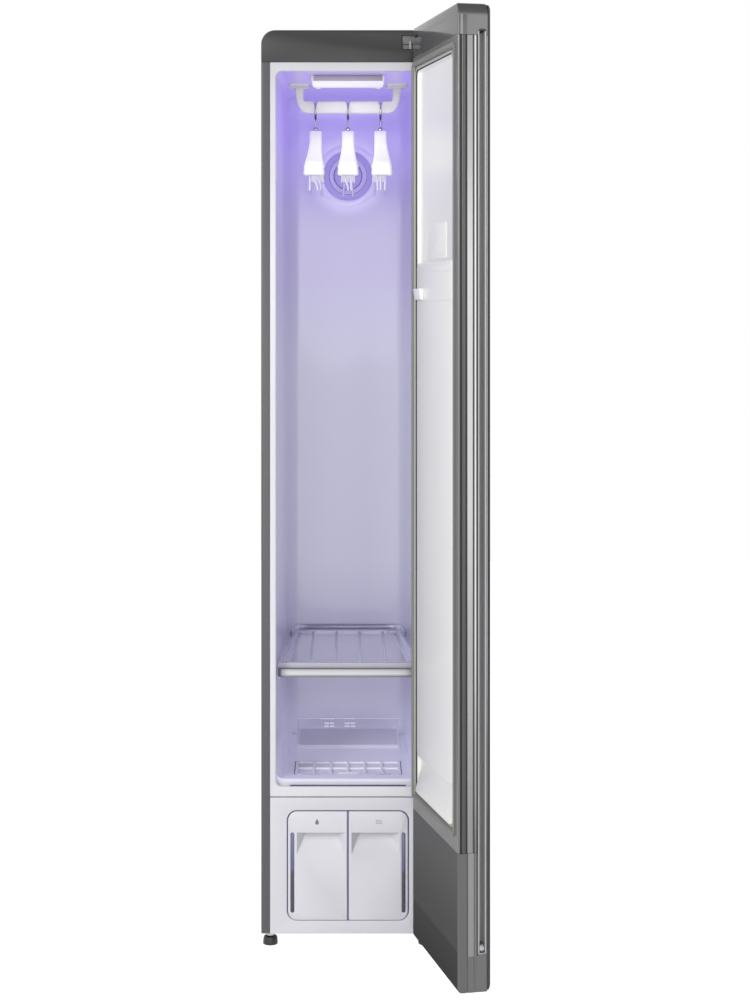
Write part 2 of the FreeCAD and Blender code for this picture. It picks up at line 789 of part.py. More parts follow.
def lamp_lens():
    """White diffuser clipped under the lamp base."""
    body = new_body("lamp_lens")
    half = S.lamp_width / 2 - 2.5
    start = FRONT + S.lamp_setback + 1
    high = CAVITY_TOP - S.lamp_height
    low = high - S.lens_height
    grow(body, "YZ", -half, half, rectangle(start, start + S.lamp_depth - 2, low, high))
    round_off(body, 6, edges_along(
        body, "x", {"y": start, "z": low}, {"y": start + S.lamp_depth - 2, "z": low}))


def rail_slot_covers():
    """Ceiling frames round the arms' slots."""
    body = new_body("rail_slot_covers")
    grow(body, "XY", CAVITY_TOP - 3, CAVITY_TOP, *arm_slots(5), *arm_slots(0))


# ---------------------------------------------------------------- rail drive above the ceiling
def hanger_rail():
    """U-shaped bar with three notches, hung from the carriage by its two arms."""
    body = new_body("hanger_rail")
    reach = S.rail_span / 2
    low = RAIL_LOW
    bar = low + S.rail_bar
    top = CARRIAGE_LOW
    arm = reach - S.rail_arm
    half = S.rail_thick / 2
    foot = reach - S.rail_taper
    grow(body, "XZ", RAIL_Y - half, RAIL_Y + half, polygon(
        (-reach, top), (-reach, CAVITY_TOP), (-foot, low), (foot, low), (reach, CAVITY_TOP),
        (reach, top), (arm, top), (arm, bar), (-arm, bar), (-arm, top)))
    round_off(body, 10, edges_along(body, "y", {"x": -foot, "z": low}, {"x": foot, "z": low}))
    round_off(body, 6, edges_along(body, "y", {"x": -arm, "z": bar}, {"x": arm, "z": bar}))
    notches = []
    for x in HOOK_SPOTS:
        wide = S.hook_wire / 2 + 1
        notches.append(polygon((x - wide - 3, bar + 1), (x - wide, bar - S.notch_depth),
                               (x + wide, bar - S.notch_depth), (x + wide + 3, bar + 1)))
    carve(body, "XZ", RAIL_Y - half - 1, RAIL_Y + half + 1, *notches)


def rail_carriage():
    """Plate with a cross slot for the crank pin, bored for the front rod and forked for the rear."""
    body = new_body("rail_carriage")
    reach = S.rail_span / 2 + 8
    deep = S.rod_pitch / 2 + 9
    top = CARRIAGE_LOW + 4
    grow(body, "XY", CARRIAGE_LOW, top, rectangle(-reach, reach, RAIL_Y - deep, RAIL_Y + deep))
    lug = 24
    rod = S.rod_pitch / 2
    tall = ROD_Z + S.rod_size / 2 + 4
    grow(body, "XY", CARRIAGE_LOW, tall, *[
        rectangle(x, x + lug, RAIL_Y + y - 8, RAIL_Y + y + 8)
        for x in (-reach, reach - lug) for y in (-rod, rod)])
    bore = S.rod_size / 2 + S.rod_gap / 2
    carve(body, "YZ", -reach - 1, reach + 1, disc(RAIL_Y - rod, ROD_Z, bore))
    carve(body, "YZ", -reach - 1, reach + 1, rectangle(
        RAIL_Y + rod - bore, RAIL_Y + rod + bore, ROD_Z - bore, tall + 1))
    wide = S.crank_pin / 2 + S.pin_play
    long = S.rail_stroke + S.crank_pin / 2 + 3
    carve(body, "XY", CARRIAGE_LOW - 1, top + 1, rounded(
        -wide, wide, RAIL_Y - long, RAIL_Y + long, 3))


def guide_rods():
    """Two ground rods held between the drive frame's uprights."""
    body = new_body("guide_rods")
    rod = S.rod_pitch / 2
    grow(body, "YZ", UPRIGHT - FRAME_HALF, FRAME_HALF - UPRIGHT,
         disc(RAIL_Y - rod, ROD_Z, S.rod_size / 2), disc(RAIL_Y + rod, ROD_Z, S.rod_size / 2))


def drive_frame():
    """Base plate over the foam, uprights for the rods and a bent arm for the crank shaft."""
    body = new_body("drive_frame")
    t = 2
    deep = S.rod_pitch / 2 + 18
    rear = RAIL_Y + S.belt_run + 40
    grow(body, "XY", SHOULDER, SHOULDER + t,
         rectangle(-FRAME_HALF, FRAME_HALF, RAIL_Y - deep, rear))
    carve(body, "XY", SHOULDER - 1, SHOULDER + t + 1, *arm_slots(2))
    for side in (-1, 1):
        ends = in_order(side * FRAME_HALF, side * (FRAME_HALF - UPRIGHT))
        grow(body, "YZ", *ends, rectangle(RAIL_Y - deep, RAIL_Y + deep, SHOULDER, ROD_Z + 10))
    roof = CRANK_HIGH + 6
    front = RAIL_Y - deep
    grow(body, "YZ", -22, 22, polygon(
        (front, SHOULDER), (front + 2.5, SHOULDER), (front + 2.5, roof), (RAIL_Y + 16, roof),
        (RAIL_Y + 16, roof + 2.5), (front, roof + 2.5)))
    carve(body, "XY", roof - 1, roof + 4, disc(0, RAIL_Y, SHAFT / 2 + 0.4))


def crank_pulley():
    """Plain pulley on a shaft, with the eccentric pin that drives the carriage."""
    body = new_body("crank_pulley")
    r = S.crank_size / 2 - 2
    low = CRANK_LOW
    high = CRANK_HIGH
    revolve(body, polygon(
        (0, low), (r, low), (r, high), (SHAFT / 2, high), (SHAFT / 2, high + 12), (0, high + 12)))
    grow(body, "XY", CARRIAGE_LOW + 0.5, low, disc(0, S.rail_stroke, S.crank_pin / 2))
    place(body, 0, RAIL_Y, 0)


def motor_pulley():
    """Plain pulley on the stub of the motor shaft."""
    body = new_body("motor_pulley")
    stub = 1.7
    grow(body, "XY", CRANK_LOW - stub, CRANK_HIGH, disc(0, 0, S.motor_pulley_size / 2))
    place(body, 0, RAIL_Y + S.belt_run, 0)


def drive_motor():
    """Flat geared motor bolted to the drive frame."""
    body = new_body("drive_motor")
    low = SHOULDER + 2
    y = RAIL_Y + S.belt_run
    half = 22
    cut = 13
    grow(body, "XY", low, low + 4, rectangle(-30, 30, y - 25, y + 25))
    grow(body, "XY", low + 4, CRANK_LOW - 2, polygon(
        (cut - half, y - half), (half - cut, y - half), (half, y - half + cut), (half, y + half - cut),
        (half - cut, y + half), (cut - half, y + half), (-half, y + half - cut), (-half, y - half + cut)))


def drive_belt():
    """Flat belt round both pulleys, running just clear of their grooves."""
    body = new_body("drive_belt")
    near = S.crank_size / 2 - 2 + 0.3
    far = S.motor_pulley_size / 2 + 0.3
    low = CRANK_LOW + 2.8
    high = CRANK_HIGH - 2.8
    grow(body, "XY", low, high, belt_loop(near + 1.4, far + 1.4), belt_loop(near, far))


def belt_loop(near, far):
    """Open-belt outline: two arcs joined by their outer tangents."""
    def draw(sketch):
        run = S.belt_run.value
        big = near.value
        small = far.value
        tilt = math.asin((big - small) / run)
        y0 = RAIL_Y.value
        y1 = y0 + run
        up = FreeCAD.Vector(0, 0, 1)
        first = sketch.GeometryCount
        side = FreeCAD.Vector(math.cos(tilt), math.sin(tilt), 0)
        other = FreeCAD.Vector(-side.x, side.y, 0)
        lower = FreeCAD.Vector(0, y0, 0)
        upper = FreeCAD.Vector(0, y1, 0)
        sketch.addGeometry(Part.ArcOfCircle(
            Part.Circle(lower, up, big), math.pi - tilt, 2 * math.pi + tilt), False)
        sketch.addGeometry(Part.LineSegment(lower + side * big, upper + side * small), False)
        sketch.addGeometry(Part.ArcOfCircle(
            Part.Circle(upper, up, small), tilt, math.pi - tilt), False)
        sketch.addGeometry(Part.LineSegment(upper + other * small, lower + other * big), False)
        sketch.addConstraint([
            Sketcher.Constraint("Tangent", first, 2, first + 1, 1),
            Sketcher.Constraint("Tangent", first + 1, 2, first + 2, 1),
            Sketcher.Constraint("Tangent", first + 2, 2, first + 3, 1),
            Sketcher.Constraint("Tangent", first + 3, 2, first, 1)])
        tie(sketch, "Radius", first, 0, near)
        tie(sketch, "Radius", first + 2, 0, far)
        tie(sketch, "DistanceX", first, 3, 0)
        tie(sketch, "DistanceY", first, 3, RAIL_Y)
        tie(sketch, "DistanceX", first + 2, 3, 0)
        tie(sketch, "DistanceY", first + 2, 3, RAIL_Y + S.belt_run)
    return draw


# ---------------------------------------------------------------- hangers
def hanger(name, x):
    """Wide-shouldered moulded hanger, edge-on to the front, with its wire hook and clip prongs."""
    body = new_body(f"hanger_{name}")
    half = S.hanger_length / 2
    wide = S.hanger_width / 2
    neck = S.neck_width / 2
    top = HANGER_TOP
    grow(body, "YZ", x - wide, x + wide, polygon(
        (RAIL_Y - 14, top), (RAIL_Y + 14, top), (RAIL_Y + 30, top - 12), (RAIL_Y + half - 40, top - 52),
        (RAIL_Y + half, top - 86), (RAIL_Y + half, top - 114), (RAIL_Y + half - 18, top - 116),
        (RAIL_Y + half - 60, top - 86), (RAIL_Y + 40, top - 48), (RAIL_Y - 40, top - 48),
        (RAIL_Y + 60 - half, top - 86), (RAIL_Y + 18 - half, top - 116), (RAIL_Y - half, top - 114),
        (RAIL_Y - half, top - 86), (RAIL_Y + 40 - half, top - 52), (RAIL_Y - 30, top - 12)))
    socket = S.hook_wire / 2 + 0.3
    carve(body, "XY", top - 6, top + 1, rectangle(
        x - socket, x + socket, RAIL_Y - socket, RAIL_Y + socket))
    low = top - 130
    for side in (-1, 1):
        carve(body, "XY", low, top + 1, polygon(
            (x + side * neck, RAIL_Y), (x + side * wide, RAIL_Y + half - 30),
            (x + side * (wide + 5), RAIL_Y + half - 30), (x + side * (wide + 5), RAIL_Y + 30 - half),
            (x + side * wide, RAIL_Y + 30 - half)))
    for side in (-1, 1):
        spot = RAIL_Y + side * (half - 22)
        ends = in_order(spot - side * 3, spot + side * 3)
        grow(body, "XZ", *ends, *[
            polygon((x + s * 12, top - 100), (x + s * 18, top - 100), (x + s * 17, top - 148),
                    (x + s * 13, top - 148)) for s in (-1, 1)])


def hanger_hook(name, x):
    """Bright strip from the hanger's neck, cranked forwards and bent over the rail."""
    body = new_body(f"hook_{name}")
    half = S.hook_wire / 2
    grow(body, "YZ", x - half, x + half, hook_outline(half))


def hook_outline(half):
    """Side view of the hook: a stem, a slanted neck and a half turn about the rail's notch."""
    def draw(sketch):
        bend = S.hook_bend
        level = HOOK_CREST - bend
        stem = RAIL_Y - half
        front = RAIL_Y - bend - half
        foot = HANGER_TOP - 6
        knee = level - 22
        neck = level - 8
        outline = [(stem, foot), (stem, knee), (front, neck), (front, level),
                   (front + S.hook_wire, level), (front + S.hook_wire, neck + 2),
                   (stem + S.hook_wire, knee + 2), (stem + S.hook_wire, foot)]
        count = len(outline)
        spots = [FreeCAD.Vector(as_dim(a).value, as_dim(b).value, 0) for a, b in outline]
        for i in range(count):
            if i != 3:
                sketch.addGeometry(Part.LineSegment(spots[i], spots[(i + 1) % count]), False)
        tip = RAIL_Y + bend + half
        centre = FreeCAD.Vector(RAIL_Y.value, level.value, 0)
        up = FreeCAD.Vector(0, 0, 1)
        outer = Part.Circle(centre, up, (bend + half).value)
        inner = Part.Circle(centre, up, (bend - half).value)
        big = sketch.addGeometry(Part.ArcOfCircle(outer, 0, math.pi), False)
        small = sketch.addGeometry(Part.ArcOfCircle(inner, 0, math.pi), False)
        end = sketch.addGeometry(Part.LineSegment(
            FreeCAD.Vector((tip - S.hook_wire).value, level.value, 0),
            FreeCAD.Vector(tip.value, level.value, 0)), False)
        chain = [(0, 2, 1, 1), (1, 2, 2, 1), (2, 2, big, 2), (small, 2, 3, 1), (3, 2, 4, 1),
                 (4, 2, 5, 1), (5, 2, 6, 1), (6, 2, 0, 1), (big, 1, end, 2), (small, 1, end, 1)]
        sketch.addConstraint([Sketcher.Constraint("Coincident", *link) for link in chain])
        for line, (a, b) in enumerate(outline[:3]):
            tie(sketch, "DistanceX", line, 1, a)
            tie(sketch, "DistanceY", line, 1, b)
        for line, (a, b) in zip((4, 5, 6), outline[5:]):
            tie(sketch, "DistanceX", line, 1, a)
            tie(sketch, "DistanceY", line, 1, b)
        for arc, radius in ((big, bend + half), (small, bend - half)):
            tie(sketch, "Radius", arc, 0, radius)
            tie(sketch, "DistanceX", arc, 3, RAIL_Y)
            tie(sketch, "DistanceY", arc, 3, level)
        tie(sketch, "DistanceY", 2, 2, level)
        tie(sketch, "DistanceY", 3, 1, level)
        tie(sketch, "DistanceY", end, 1, level)
        tie(sketch, "DistanceY", end, 2, level)
    return draw


# ---------------------------------------------------------------- round vent and shelf
def vent_bezel():
    """Ring on the back wall with a floating centre cap on three spokes."""
    body = new_body("vent_bezel")
    front = CAVITY_BACK - 5
    grow(body, "XZ", front, CAVITY_BACK, disc(0, 0, S.vent_size / 2), disc(0, 0, S.vent_bore / 2))
    cap = S.vent_cap / 2
    grow(body, "XZ", front + 1, CAVITY_BACK, disc(0, 0, cap))
    reach = S.vent_bore / 2 + 1
    for turn in (90, 210, 330):
        c = math.cos(math.radians(turn))
        s = math.sin(math.radians(turn))
        grow(body, "XZ", front + 2, CAVITY_BACK, polygon(
            ((cap - 2) * c - 3 * s, (cap - 2) * s + 3 * c), (reach * c - 3 * s, reach * s + 3 * c),
            (reach * c + 3 * s, reach * s - 3 * c), ((cap - 2) * c + 3 * s, (cap - 2) * s - 3 * c)))
    place(body, 0, 0, VENT_Z)


def fan_motor():
    """Flat motor on the back panel, just behind the fan's shaft."""
    body = new_body("fan_motor")
    back = BACK - S.sheet
    half = 24
    grow(body, "XZ", FAN_Y + 20, back, rectangle(-half, half, VENT_Z - half, VENT_Z + half))


def fan_rotor():
    """Axial fan: a hub on its shaft and seven pitched blades."""
    body = new_body("fan_rotor")
    sides = 14
    step = 2 * math.pi / sides
    hub = [(13 * math.cos(step * i), 13 * math.sin(step * i)) for i in range(sides)]
    grow(body, "XZ", 0, 14, polygon(*hub))
    blade = grow(body, "YZ", 11, FAN_RADIUS, polygon((1, -7), (3.4, -8), (13, 6), (10.6, 7)))
    spin = body.newObject("PartDesign::PolarPattern", "blades")
    spin.Originals = [blade]
    line = [item for item in body.Origin.OriginFeatures if item.Role == "Y_Axis"][0]
    spin.Axis = (line, [""])
    spin.Angle = 360
    spin.Occurrences = 7
    body.Tip = spin
    grow(body, "XZ", 14, 19.6, rectangle(-3, 3, -3, 3))
    place(body, 0, FAN_Y, VENT_Z)


def shelf_supports():
    """Two moulded ledges along the cavity's sides, wedge-shaped below and wider at the back."""
    body = new_body("shelf_supports")
    start = FRONT + S.shelf_setback + 2
    end = start + S.shelf_length - 20
    slope = S.liner_draft / (CAVITY_BACK - FRONT)
    clear = 0.3
    for side in (-1, 1):
        near = side * (OPEN_HALF - slope * (start - FRONT) - clear)
        far = side * (OPEN_HALF - slope * (end - FRONT) - clear)
        front = new_sketch(body, "XZ", start)
        ledge_section(near, side * S.ledge_width)(front)
        rear = new_sketch(body, "XZ", end)
        ledge_section(far, side * S.ledge_rear)(rear)
        loft = body.newObject("PartDesign::AdditiveLoft", "ledge")
        loft.Profile = front
        loft.Sections = [rear]
        loft.Ruled = True
        body.Tip = loft


def ledge_section(wall, width):
    top = S.shelf_level
    lip = 4
    drop = 28
    return polygon((wall, top), (wall - width, top), (wall - width, top - lip), (wall, top - drop))


def shelf_frame():
    """Moulded shelf: a rim that narrows to the back and four straight slats."""
    body = new_body("shelf_frame")
    low = S.shelf_level
    high = low + S.shelf_thick
    start = FRONT + S.shelf_setback
    end = start + S.shelf_length
    slope = S.liner_draft / (CAVITY_BACK - FRONT)
    near = OPEN_HALF - slope * (start - FRONT) - 2
    far = near - S.shelf_taper
    rim = S.shelf_rim
    grow(body, "XY", low, high, polygon((-near, start), (near, start), (far, end), (-far, end)))
    round_off(body, 16, edges_along(body, "z", {"x": far, "y": end}, {"x": -far, "y": end}))
    spots = [S.slat_pitch * step for step in (-1.5, -0.5, 0.5, 1.5)]
    half = S.slat / 2
    lefts = [(rim - near, rim - far)] + [(x + half, x + half) for x in spots]
    rights = [(x - half, x - half) for x in spots] + [(near - rim, far - rim)]
    for (left_near, left_far), (right_near, right_far) in zip(lefts, rights):
        carve(body, "XY", low - 1, high + 1, polygon(
            (left_near, start + rim), (right_near, start + rim),
            (right_far, end - rim), (left_far, end - rim)))


def shelf_trim():
    """Bright bar clipped to the shelf's front."""
    body = new_body("shelf_trim")
    start = FRONT + S.shelf_setback - S.trim_depth
    half = OPEN_HALF - 3
    low = S.shelf_level - S.trim_height
    high = S.shelf_level + S.trim_rise
    grow(body, "XY", low, high, rectangle(-half, half, start, start + S.trim_depth))
    round_off(body, 9, edges_along(body, "z", {"x": -half, "y": start}, {"x": half, "y": start}))


# ---------------------------------------------------------------- machine space
def compressor():
    """Upright rotary compressor on its square foot plate."""
    body = new_body("compressor")
    r = 52
    low = BASE + 1.5
    plate = 4
    tall = 174
    grow(body, "XY", low + plate, low + tall, disc(0, 0, r))
    grow(body, "XY", low, low + plate, rectangle(-r - plate, r + plate, -r - plate, r + plate))
    place(body, -SIDE + 94, BACK - 92, 0)


def heat_exchanger():
    """Finned coil block between two tube plates."""
    body = new_body("heat_exchanger")
    left = -10
    right = SIDE - 36
    y = BACK - 130
    low = BASE + 1.5
    high = low + 200
    grow(body, "YZ", left, right, rectangle(y + 6, y + 84, low + 6, high - 6))
    for x in (left, right - 3):
        grow(body, "YZ", x, x + 3, rectangle(y, y + 90, low, high))
    slot = carve(body, "YZ", left + 8, left + 13, rectangle(y - 1, y + 20, low - 1, high + 1))
    repeat(body, slot, "X", right - left - 24, 10)


def steam_generator():
    """Lying boiler with end flanges and the steam pipe that rises to the cavity."""
    body = new_body("steam_generator")
    low = BASE + 1.5
    y = FRONT + S.tank_depth + 50
    r = 30
    middle = low + r + 8
    grow(body, "YZ", 0, 120, disc(y, middle, r))
    for x in (-4, 120):
        grow(body, "YZ", x, x + 4, rectangle(y - r - 4, y + r + 4, low, middle + r + 4))
    pipe_y = y
    grow(body, "XY", middle, CAVITY_FLOOR - S.floor_foam, disc(20, pipe_y, 7))


def steam_nozzle():
    """Clear hood over the steam outlet at the foot of the back wall."""
    body = new_body("steam_nozzle")
    low = CAVITY_FLOOR + S.tray_height
    high = low + 38
    rear = CAVITY_BACK - S.liner_cove
    wall = 3
    grow(body, "YZ", -LOUVRE_HALF, LOUVRE_HALF, polygon(
        (rear - 20, low), (rear, low), (rear, high), (rear - 10, high)))
    carve(body, "YZ", wall - LOUVRE_HALF, LOUVRE_HALF - wall, polygon(
        (rear - 17, low - 1), (rear - wall, low - 1), (rear - wall, high - wall), (rear - 8, high - wall)))


def pumps():
    """Feed and drain pumps behind their tanks."""
    body = new_body("pumps")
    low = BASE + 1.5
    y = FRONT + S.tank_depth + 42
    for x in (-110, -50):
        grow(body, "XY", low, low + 16, rectangle(x - 22, x + 22, y - 22, y + 22))
        grow(body, "XY", low + 16, low + 58, rectangle(x - 17, x + 17, y - 17, y + 17))


def control_box():
    """Lidded box for the circuit boards on the right side."""
    body = new_body("control_box")
    right = SIDE - S.sheet
    y = FRONT + S.tank_depth + 20
    low = BASE + 130
    high = low + 110
    grow(body, "YZ", right - 36, right, rectangle(y, y + 120, low, high))
    grow(body, "YZ", right - 40, right - 36, rectangle(y + 3, y + 117, low + 3, high - 3))


# ---------------------------------------------------------------- feet and hinges
def foot(name, x, y):
    """Levelling foot: a twelve-sided knob, a hexagonal metal collar and its threaded stud."""
    body = new_body(f"foot_{name}")
    pad = 15
    sides = 12
    step = 2 * math.pi / sides
    knob = [(pad * math.cos(step * i), pad * math.sin(step * i)) for i in range(sides)]
    grow(body, "XY", 0, 18, polygon(*knob))
    flat = FOOT_STUD + 5
    corner = flat / math.sqrt(3)
    grow(body, "XY", 18, BASE - 0.5, polygon(
        (-corner, -flat), (corner, -flat), (2 * corner, 0), (corner, flat), (-corner, flat),
        (-2 * corner, 0)))
    grow(body, "XY", BASE - 0.5, BASE + 22, disc(0, 0, FOOT_STUD))
    place(body, x, y, 0)


def hinge_bracket(label, level, wall):
    """Hinge arm: a flange behind the cabinet's front wall, and the pin that the door turns on."""
    body = new_body(label)
    t = S.hinge_plate
    grow(body, "XZ", FRONT + wall, FRONT + wall + 3, rectangle(
        HINGE_X - 50, HINGE_X, level - 8, level + t + 6))
    grow(body, "XY", level, level + t, polygon(
        (HINGE_X - S.hinge_arm - 2, FRONT + wall), (HINGE_X - S.hinge_arm - 2, FRONT - 2),
        (HINGE_X - 9, HINGE_Y - 4), (HINGE_X + 6, HINGE_Y - 9), (HINGE_X + 9, HINGE_Y + 3),
        (HINGE_X - 8, FRONT - 2), (HINGE_X - 8, FRONT + wall)))
    pin = S.hinge_pin / 2
    grow(body, "XY", level + t, level + t + 10, disc(HINGE_X, HINGE_Y, pin))


# ---------------------------------------------------------------- door
def door_frame():
    """Door carcass: edge trims, caps and core, with the dish, hinge pockets and grip channel."""
    body = new_body("door_frame")
    back = DOOR_OUT + S.glass
    grow(body, "XY", BASE, TOP, rectangle(DOOR_FREE, DOOR_HINGE, back, DOOR_IN))
    round_off(body, 2, edges_along(body, "z", {"x": DOOR_FREE, "y": DOOR_IN}))
    round_off(body, S.door_corner, edges_along(body, "z", {"x": DOOR_HINGE, "y": DOOR_IN}))
    carve(body, "XZ", DOOR_IN - S.door_dish, DOOR_IN + 1,
          rounded(DISH_FREE, DISH_HINGE, DISH_LOW, DISH_HIGH, 14))
    grip = 1.5
    deep = DOOR_FREE + S.grip_depth + grip
    carve(body, "YZ", DOOR_FREE - 1, deep, rounded(
        GRIP_OUT - grip, GRIP_IN + grip, S.grip_low - grip, TOP - S.grip_high + grip,
        S.grip_width / 2 + grip - 0.05))
    seam = S.grip_low + 187
    for v in (DOOR_IN - 12.5, DOOR_IN - 20):
        carve(body, "XZ", v, v + 1.5, rectangle(DOOR_FREE - 1, DOOR_FREE + 2, seam, TOP + 1))
    t = S.hinge_plate
    for low, high in ((UPPER_HINGE - 2, UPPER_HINGE + t + 0.5), (BASE - 1, LOWER_HINGE + t + 0.5)):
        carve(body, "XY", low, high, rectangle(
            -S.hinge_arm - 6, DOOR_HINGE + 1, -12, DOOR_IN + 1))
    bore = S.hinge_pin / 2 + S.pin_gap / 2
    for level in (UPPER_HINGE + t, LOWER_HINGE + t):
        carve(body, "XY", level, level + 11, disc(0, 0, bore))
    on_door(body)


def door_glass():
    """Mirror-finished outer panel."""
    body = new_body("door_glass")
    grow(body, "XY", BASE, TOP, rectangle(DOOR_FREE, DOOR_HINGE, DOOR_OUT, DOOR_OUT + S.glass))
    round_off(body, 2, edges_along(
        body, "z", {"x": DOOR_FREE, "y": DOOR_OUT}, {"x": DOOR_HINGE, "y": DOOR_OUT}))
    on_door(body)


def door_liner():
    """Moulded inner skin: a shallow dish with a drip wedge and four buffers for the press board."""
    body = new_body("door_liner")
    w = S.liner_wall
    floor = DOOR_IN - S.door_dish
    left = DISH_FREE + 0.5
    right = DISH_HINGE - 0.5
    low = DISH_LOW + 0.5
    high = DISH_HIGH - 0.5
    grow(body, "XZ", floor, DOOR_IN, rounded(left, right, low, high, 13.5))
    carve(body, "XZ", floor + w, DOOR_IN + 1, rounded(left + w, right - w, low + w, high - w, 11))
    grow(body, "YZ", left + 12, right - 12, polygon(
        (floor + 1, low + 1), (DOOR_IN + 5, low + 1), (DOOR_IN + 5, low + 3), (floor + 1, low + 58)))
    pad = 12
    inset = 30
    shy = 0.5
    grow(body, "XZ", floor + w - shy, floor + w + S.press_gap - shy, *[
        rectangle(u, u + pad, z, z + pad)
        for u in (left + inset, right - inset - pad)
        for z in (S.press_low + inset, TOP - S.press_top - inset - pad)])
    on_door(body)


def door_gasket():
    """Soft seal round the inner face that meets the cabinet's white flange."""
    body = new_body("door_gasket")
    tip = DOOR_IN + S.door_gap - S.gasket_gap
    wide = S.gasket_width / 2
    left = -HINGE_X - GASKET_LINE
    right = GASKET_LINE - HINGE_X
    low = CAVITY_FLOOR - S.flange_bottom / 2
    high = CAVITY_TOP + S.flange_top / 2
    grow(body, "XZ", DOOR_IN, tip,
         rounded(left - wide, right + wide, low - wide, high + wide, 8),
         rectangle(left + wide, right - wide, low + wide, high - wide))
    on_door(body)


def handle_channel():
    """Bright extrusion with rounded ends that lines the grip groove of the free edge."""
    body = new_body("handle_channel")
    wall = 1.2
    grip = 1.2
    deep = DOOR_FREE + S.grip_depth
    grow(body, "YZ", DOOR_FREE + 0.3, deep + wall, rounded(
        GRIP_OUT - grip, GRIP_IN + grip, S.grip_low - grip, TOP - S.grip_high + grip,
        S.grip_width / 2 + grip - 0.05))
    carve(body, "YZ", DOOR_FREE - 1, deep, rounded(
        GRIP_OUT, GRIP_IN, S.grip_low, TOP - S.grip_high, S.grip_width / 2 - 0.05))
    on_door(body)


def press_plate():
    """Trouser press board that swings off the door liner."""
    body = new_body("press_plate")
    floor = DOOR_IN - S.door_dish + S.liner_wall + S.press_gap
    left = DISH_FREE + 8
    right = DISH_HINGE - 8
    grow(body, "XZ", floor, floor + S.press_thick,
         rounded(left, right, S.press_low, TOP - S.press_top, 12))
    on_door(body)


def press_latch():
    """Small slide that holds the press board shut."""
    body = new_body("press_latch")
    face = DOOR_IN - S.door_dish + S.liner_wall + S.press_gap + S.press_thick
    high = TOP - S.press_top - 50
    grow(body, "YZ", DISH_HINGE - 62, DISH_HINGE - 14, polygon(
        (face, high - 22), (face + 6, high - 22), (face + 9, high - 4), (face + 9, high), (face, high)))
    on_door(body)


# ---------------------------------------------------------------- the assembly
def build_all():
    side_panel("side_panel_left", -1)
    side_panel("side_panel_right", 1)
    top_cover()
    back_panel()
    base_pan()
    inner_liner()
    foam_walls()
    foam_top()
    foam_floor()
    floor_tray()
    floor_vent()
    lint_filter()
    lower_front_panel()
    tank_bay()
    for name, side in (("supply", -1), ("drain", 1)):
        tank(name, side)
        tank_window(name, side)
    lamp_housing()
    lamp_lens()
    rail_slot_covers()
    hanger_rail()
    rail_carriage()
    guide_rods()
    drive_frame()
    crank_pulley()
    motor_pulley()
    drive_motor()
    drive_belt()
    for name, spot in zip(("left", "centre", "right"), HOOK_SPOTS):
        hanger(name, spot)
        hanger_hook(name, spot)
    vent_bezel()
    fan_motor()
    fan_rotor()
    shelf_supports()
    shelf_frame()
    shelf_trim()
    compressor()
    heat_exchanger()
    steam_generator()
    steam_nozzle()
    pumps()
    control_box()
    for name, spot in zip(("front_left", "front_right", "back_left", "back_right"), FOOT_SPOTS):
        foot(name, *spot)
    hinge_bracket("upper_hinge", UPPER_HINGE, S.cap_wall)
    hinge_bracket("lower_hinge", LOWER_HINGE, S.panel_wall)
    door_frame()
    door_glass()
    door_liner()
    door_gasket()
    handle_channel()
    press_plate()
    press_latch()


def check_all():
    """Stop if any object failed to build or any sub-part is empty or invalid."""
    for thing in doc.Objects:
        if "Invalid" in thing.State or "Error" in thing.State:
            raise RuntimeError(f"{thing.Label} ({thing.Name}): {thing.State}")
    for body in SUBPARTS:
        if body.Shape.isNull() or not body.Shape.isValid() or not body.Shape.Solids:
            raise RuntimeError(f"{body.Label}: no valid solid")


build_all()
doc.recompute()
check_all()
os.makedirs("parts", exist_ok=True)
for body in SUBPARTS:
    body.Shape.exportStep(os.path.join("parts", body.Label + ".step"))
print(len(SUBPARTS), "pieces written")
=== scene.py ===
import json
import math
import bmesh
import bpy
from mathutils import Matrix, Vector

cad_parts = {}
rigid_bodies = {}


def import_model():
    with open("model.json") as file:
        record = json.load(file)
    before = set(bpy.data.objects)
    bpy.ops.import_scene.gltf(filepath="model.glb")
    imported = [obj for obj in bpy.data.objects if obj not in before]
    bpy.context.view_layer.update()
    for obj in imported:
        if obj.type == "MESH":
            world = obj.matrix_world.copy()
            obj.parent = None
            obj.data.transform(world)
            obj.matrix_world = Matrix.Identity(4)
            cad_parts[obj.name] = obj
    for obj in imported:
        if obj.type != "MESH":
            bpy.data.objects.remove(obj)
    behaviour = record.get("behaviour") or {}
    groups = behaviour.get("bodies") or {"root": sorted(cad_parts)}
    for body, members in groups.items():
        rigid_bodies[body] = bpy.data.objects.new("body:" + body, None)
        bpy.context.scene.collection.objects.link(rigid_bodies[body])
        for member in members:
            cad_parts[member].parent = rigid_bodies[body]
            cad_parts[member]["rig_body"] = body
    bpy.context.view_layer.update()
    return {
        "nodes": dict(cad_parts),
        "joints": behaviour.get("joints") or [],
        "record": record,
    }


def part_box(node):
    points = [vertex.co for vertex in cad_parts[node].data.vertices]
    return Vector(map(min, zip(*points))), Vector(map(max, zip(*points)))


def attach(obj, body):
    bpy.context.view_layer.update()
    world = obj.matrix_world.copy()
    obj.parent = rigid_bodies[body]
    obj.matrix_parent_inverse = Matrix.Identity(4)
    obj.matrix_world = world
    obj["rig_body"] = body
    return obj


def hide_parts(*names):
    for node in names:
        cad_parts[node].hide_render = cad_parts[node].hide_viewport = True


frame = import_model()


# ------------------------------------------------------------------ places, worked out from the frame
def low(node):
    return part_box(node)[0]


def high(node):
    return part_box(node)[1]


def joint(name):
    return [item for item in frame["joints"] if item["name"] == name][0]


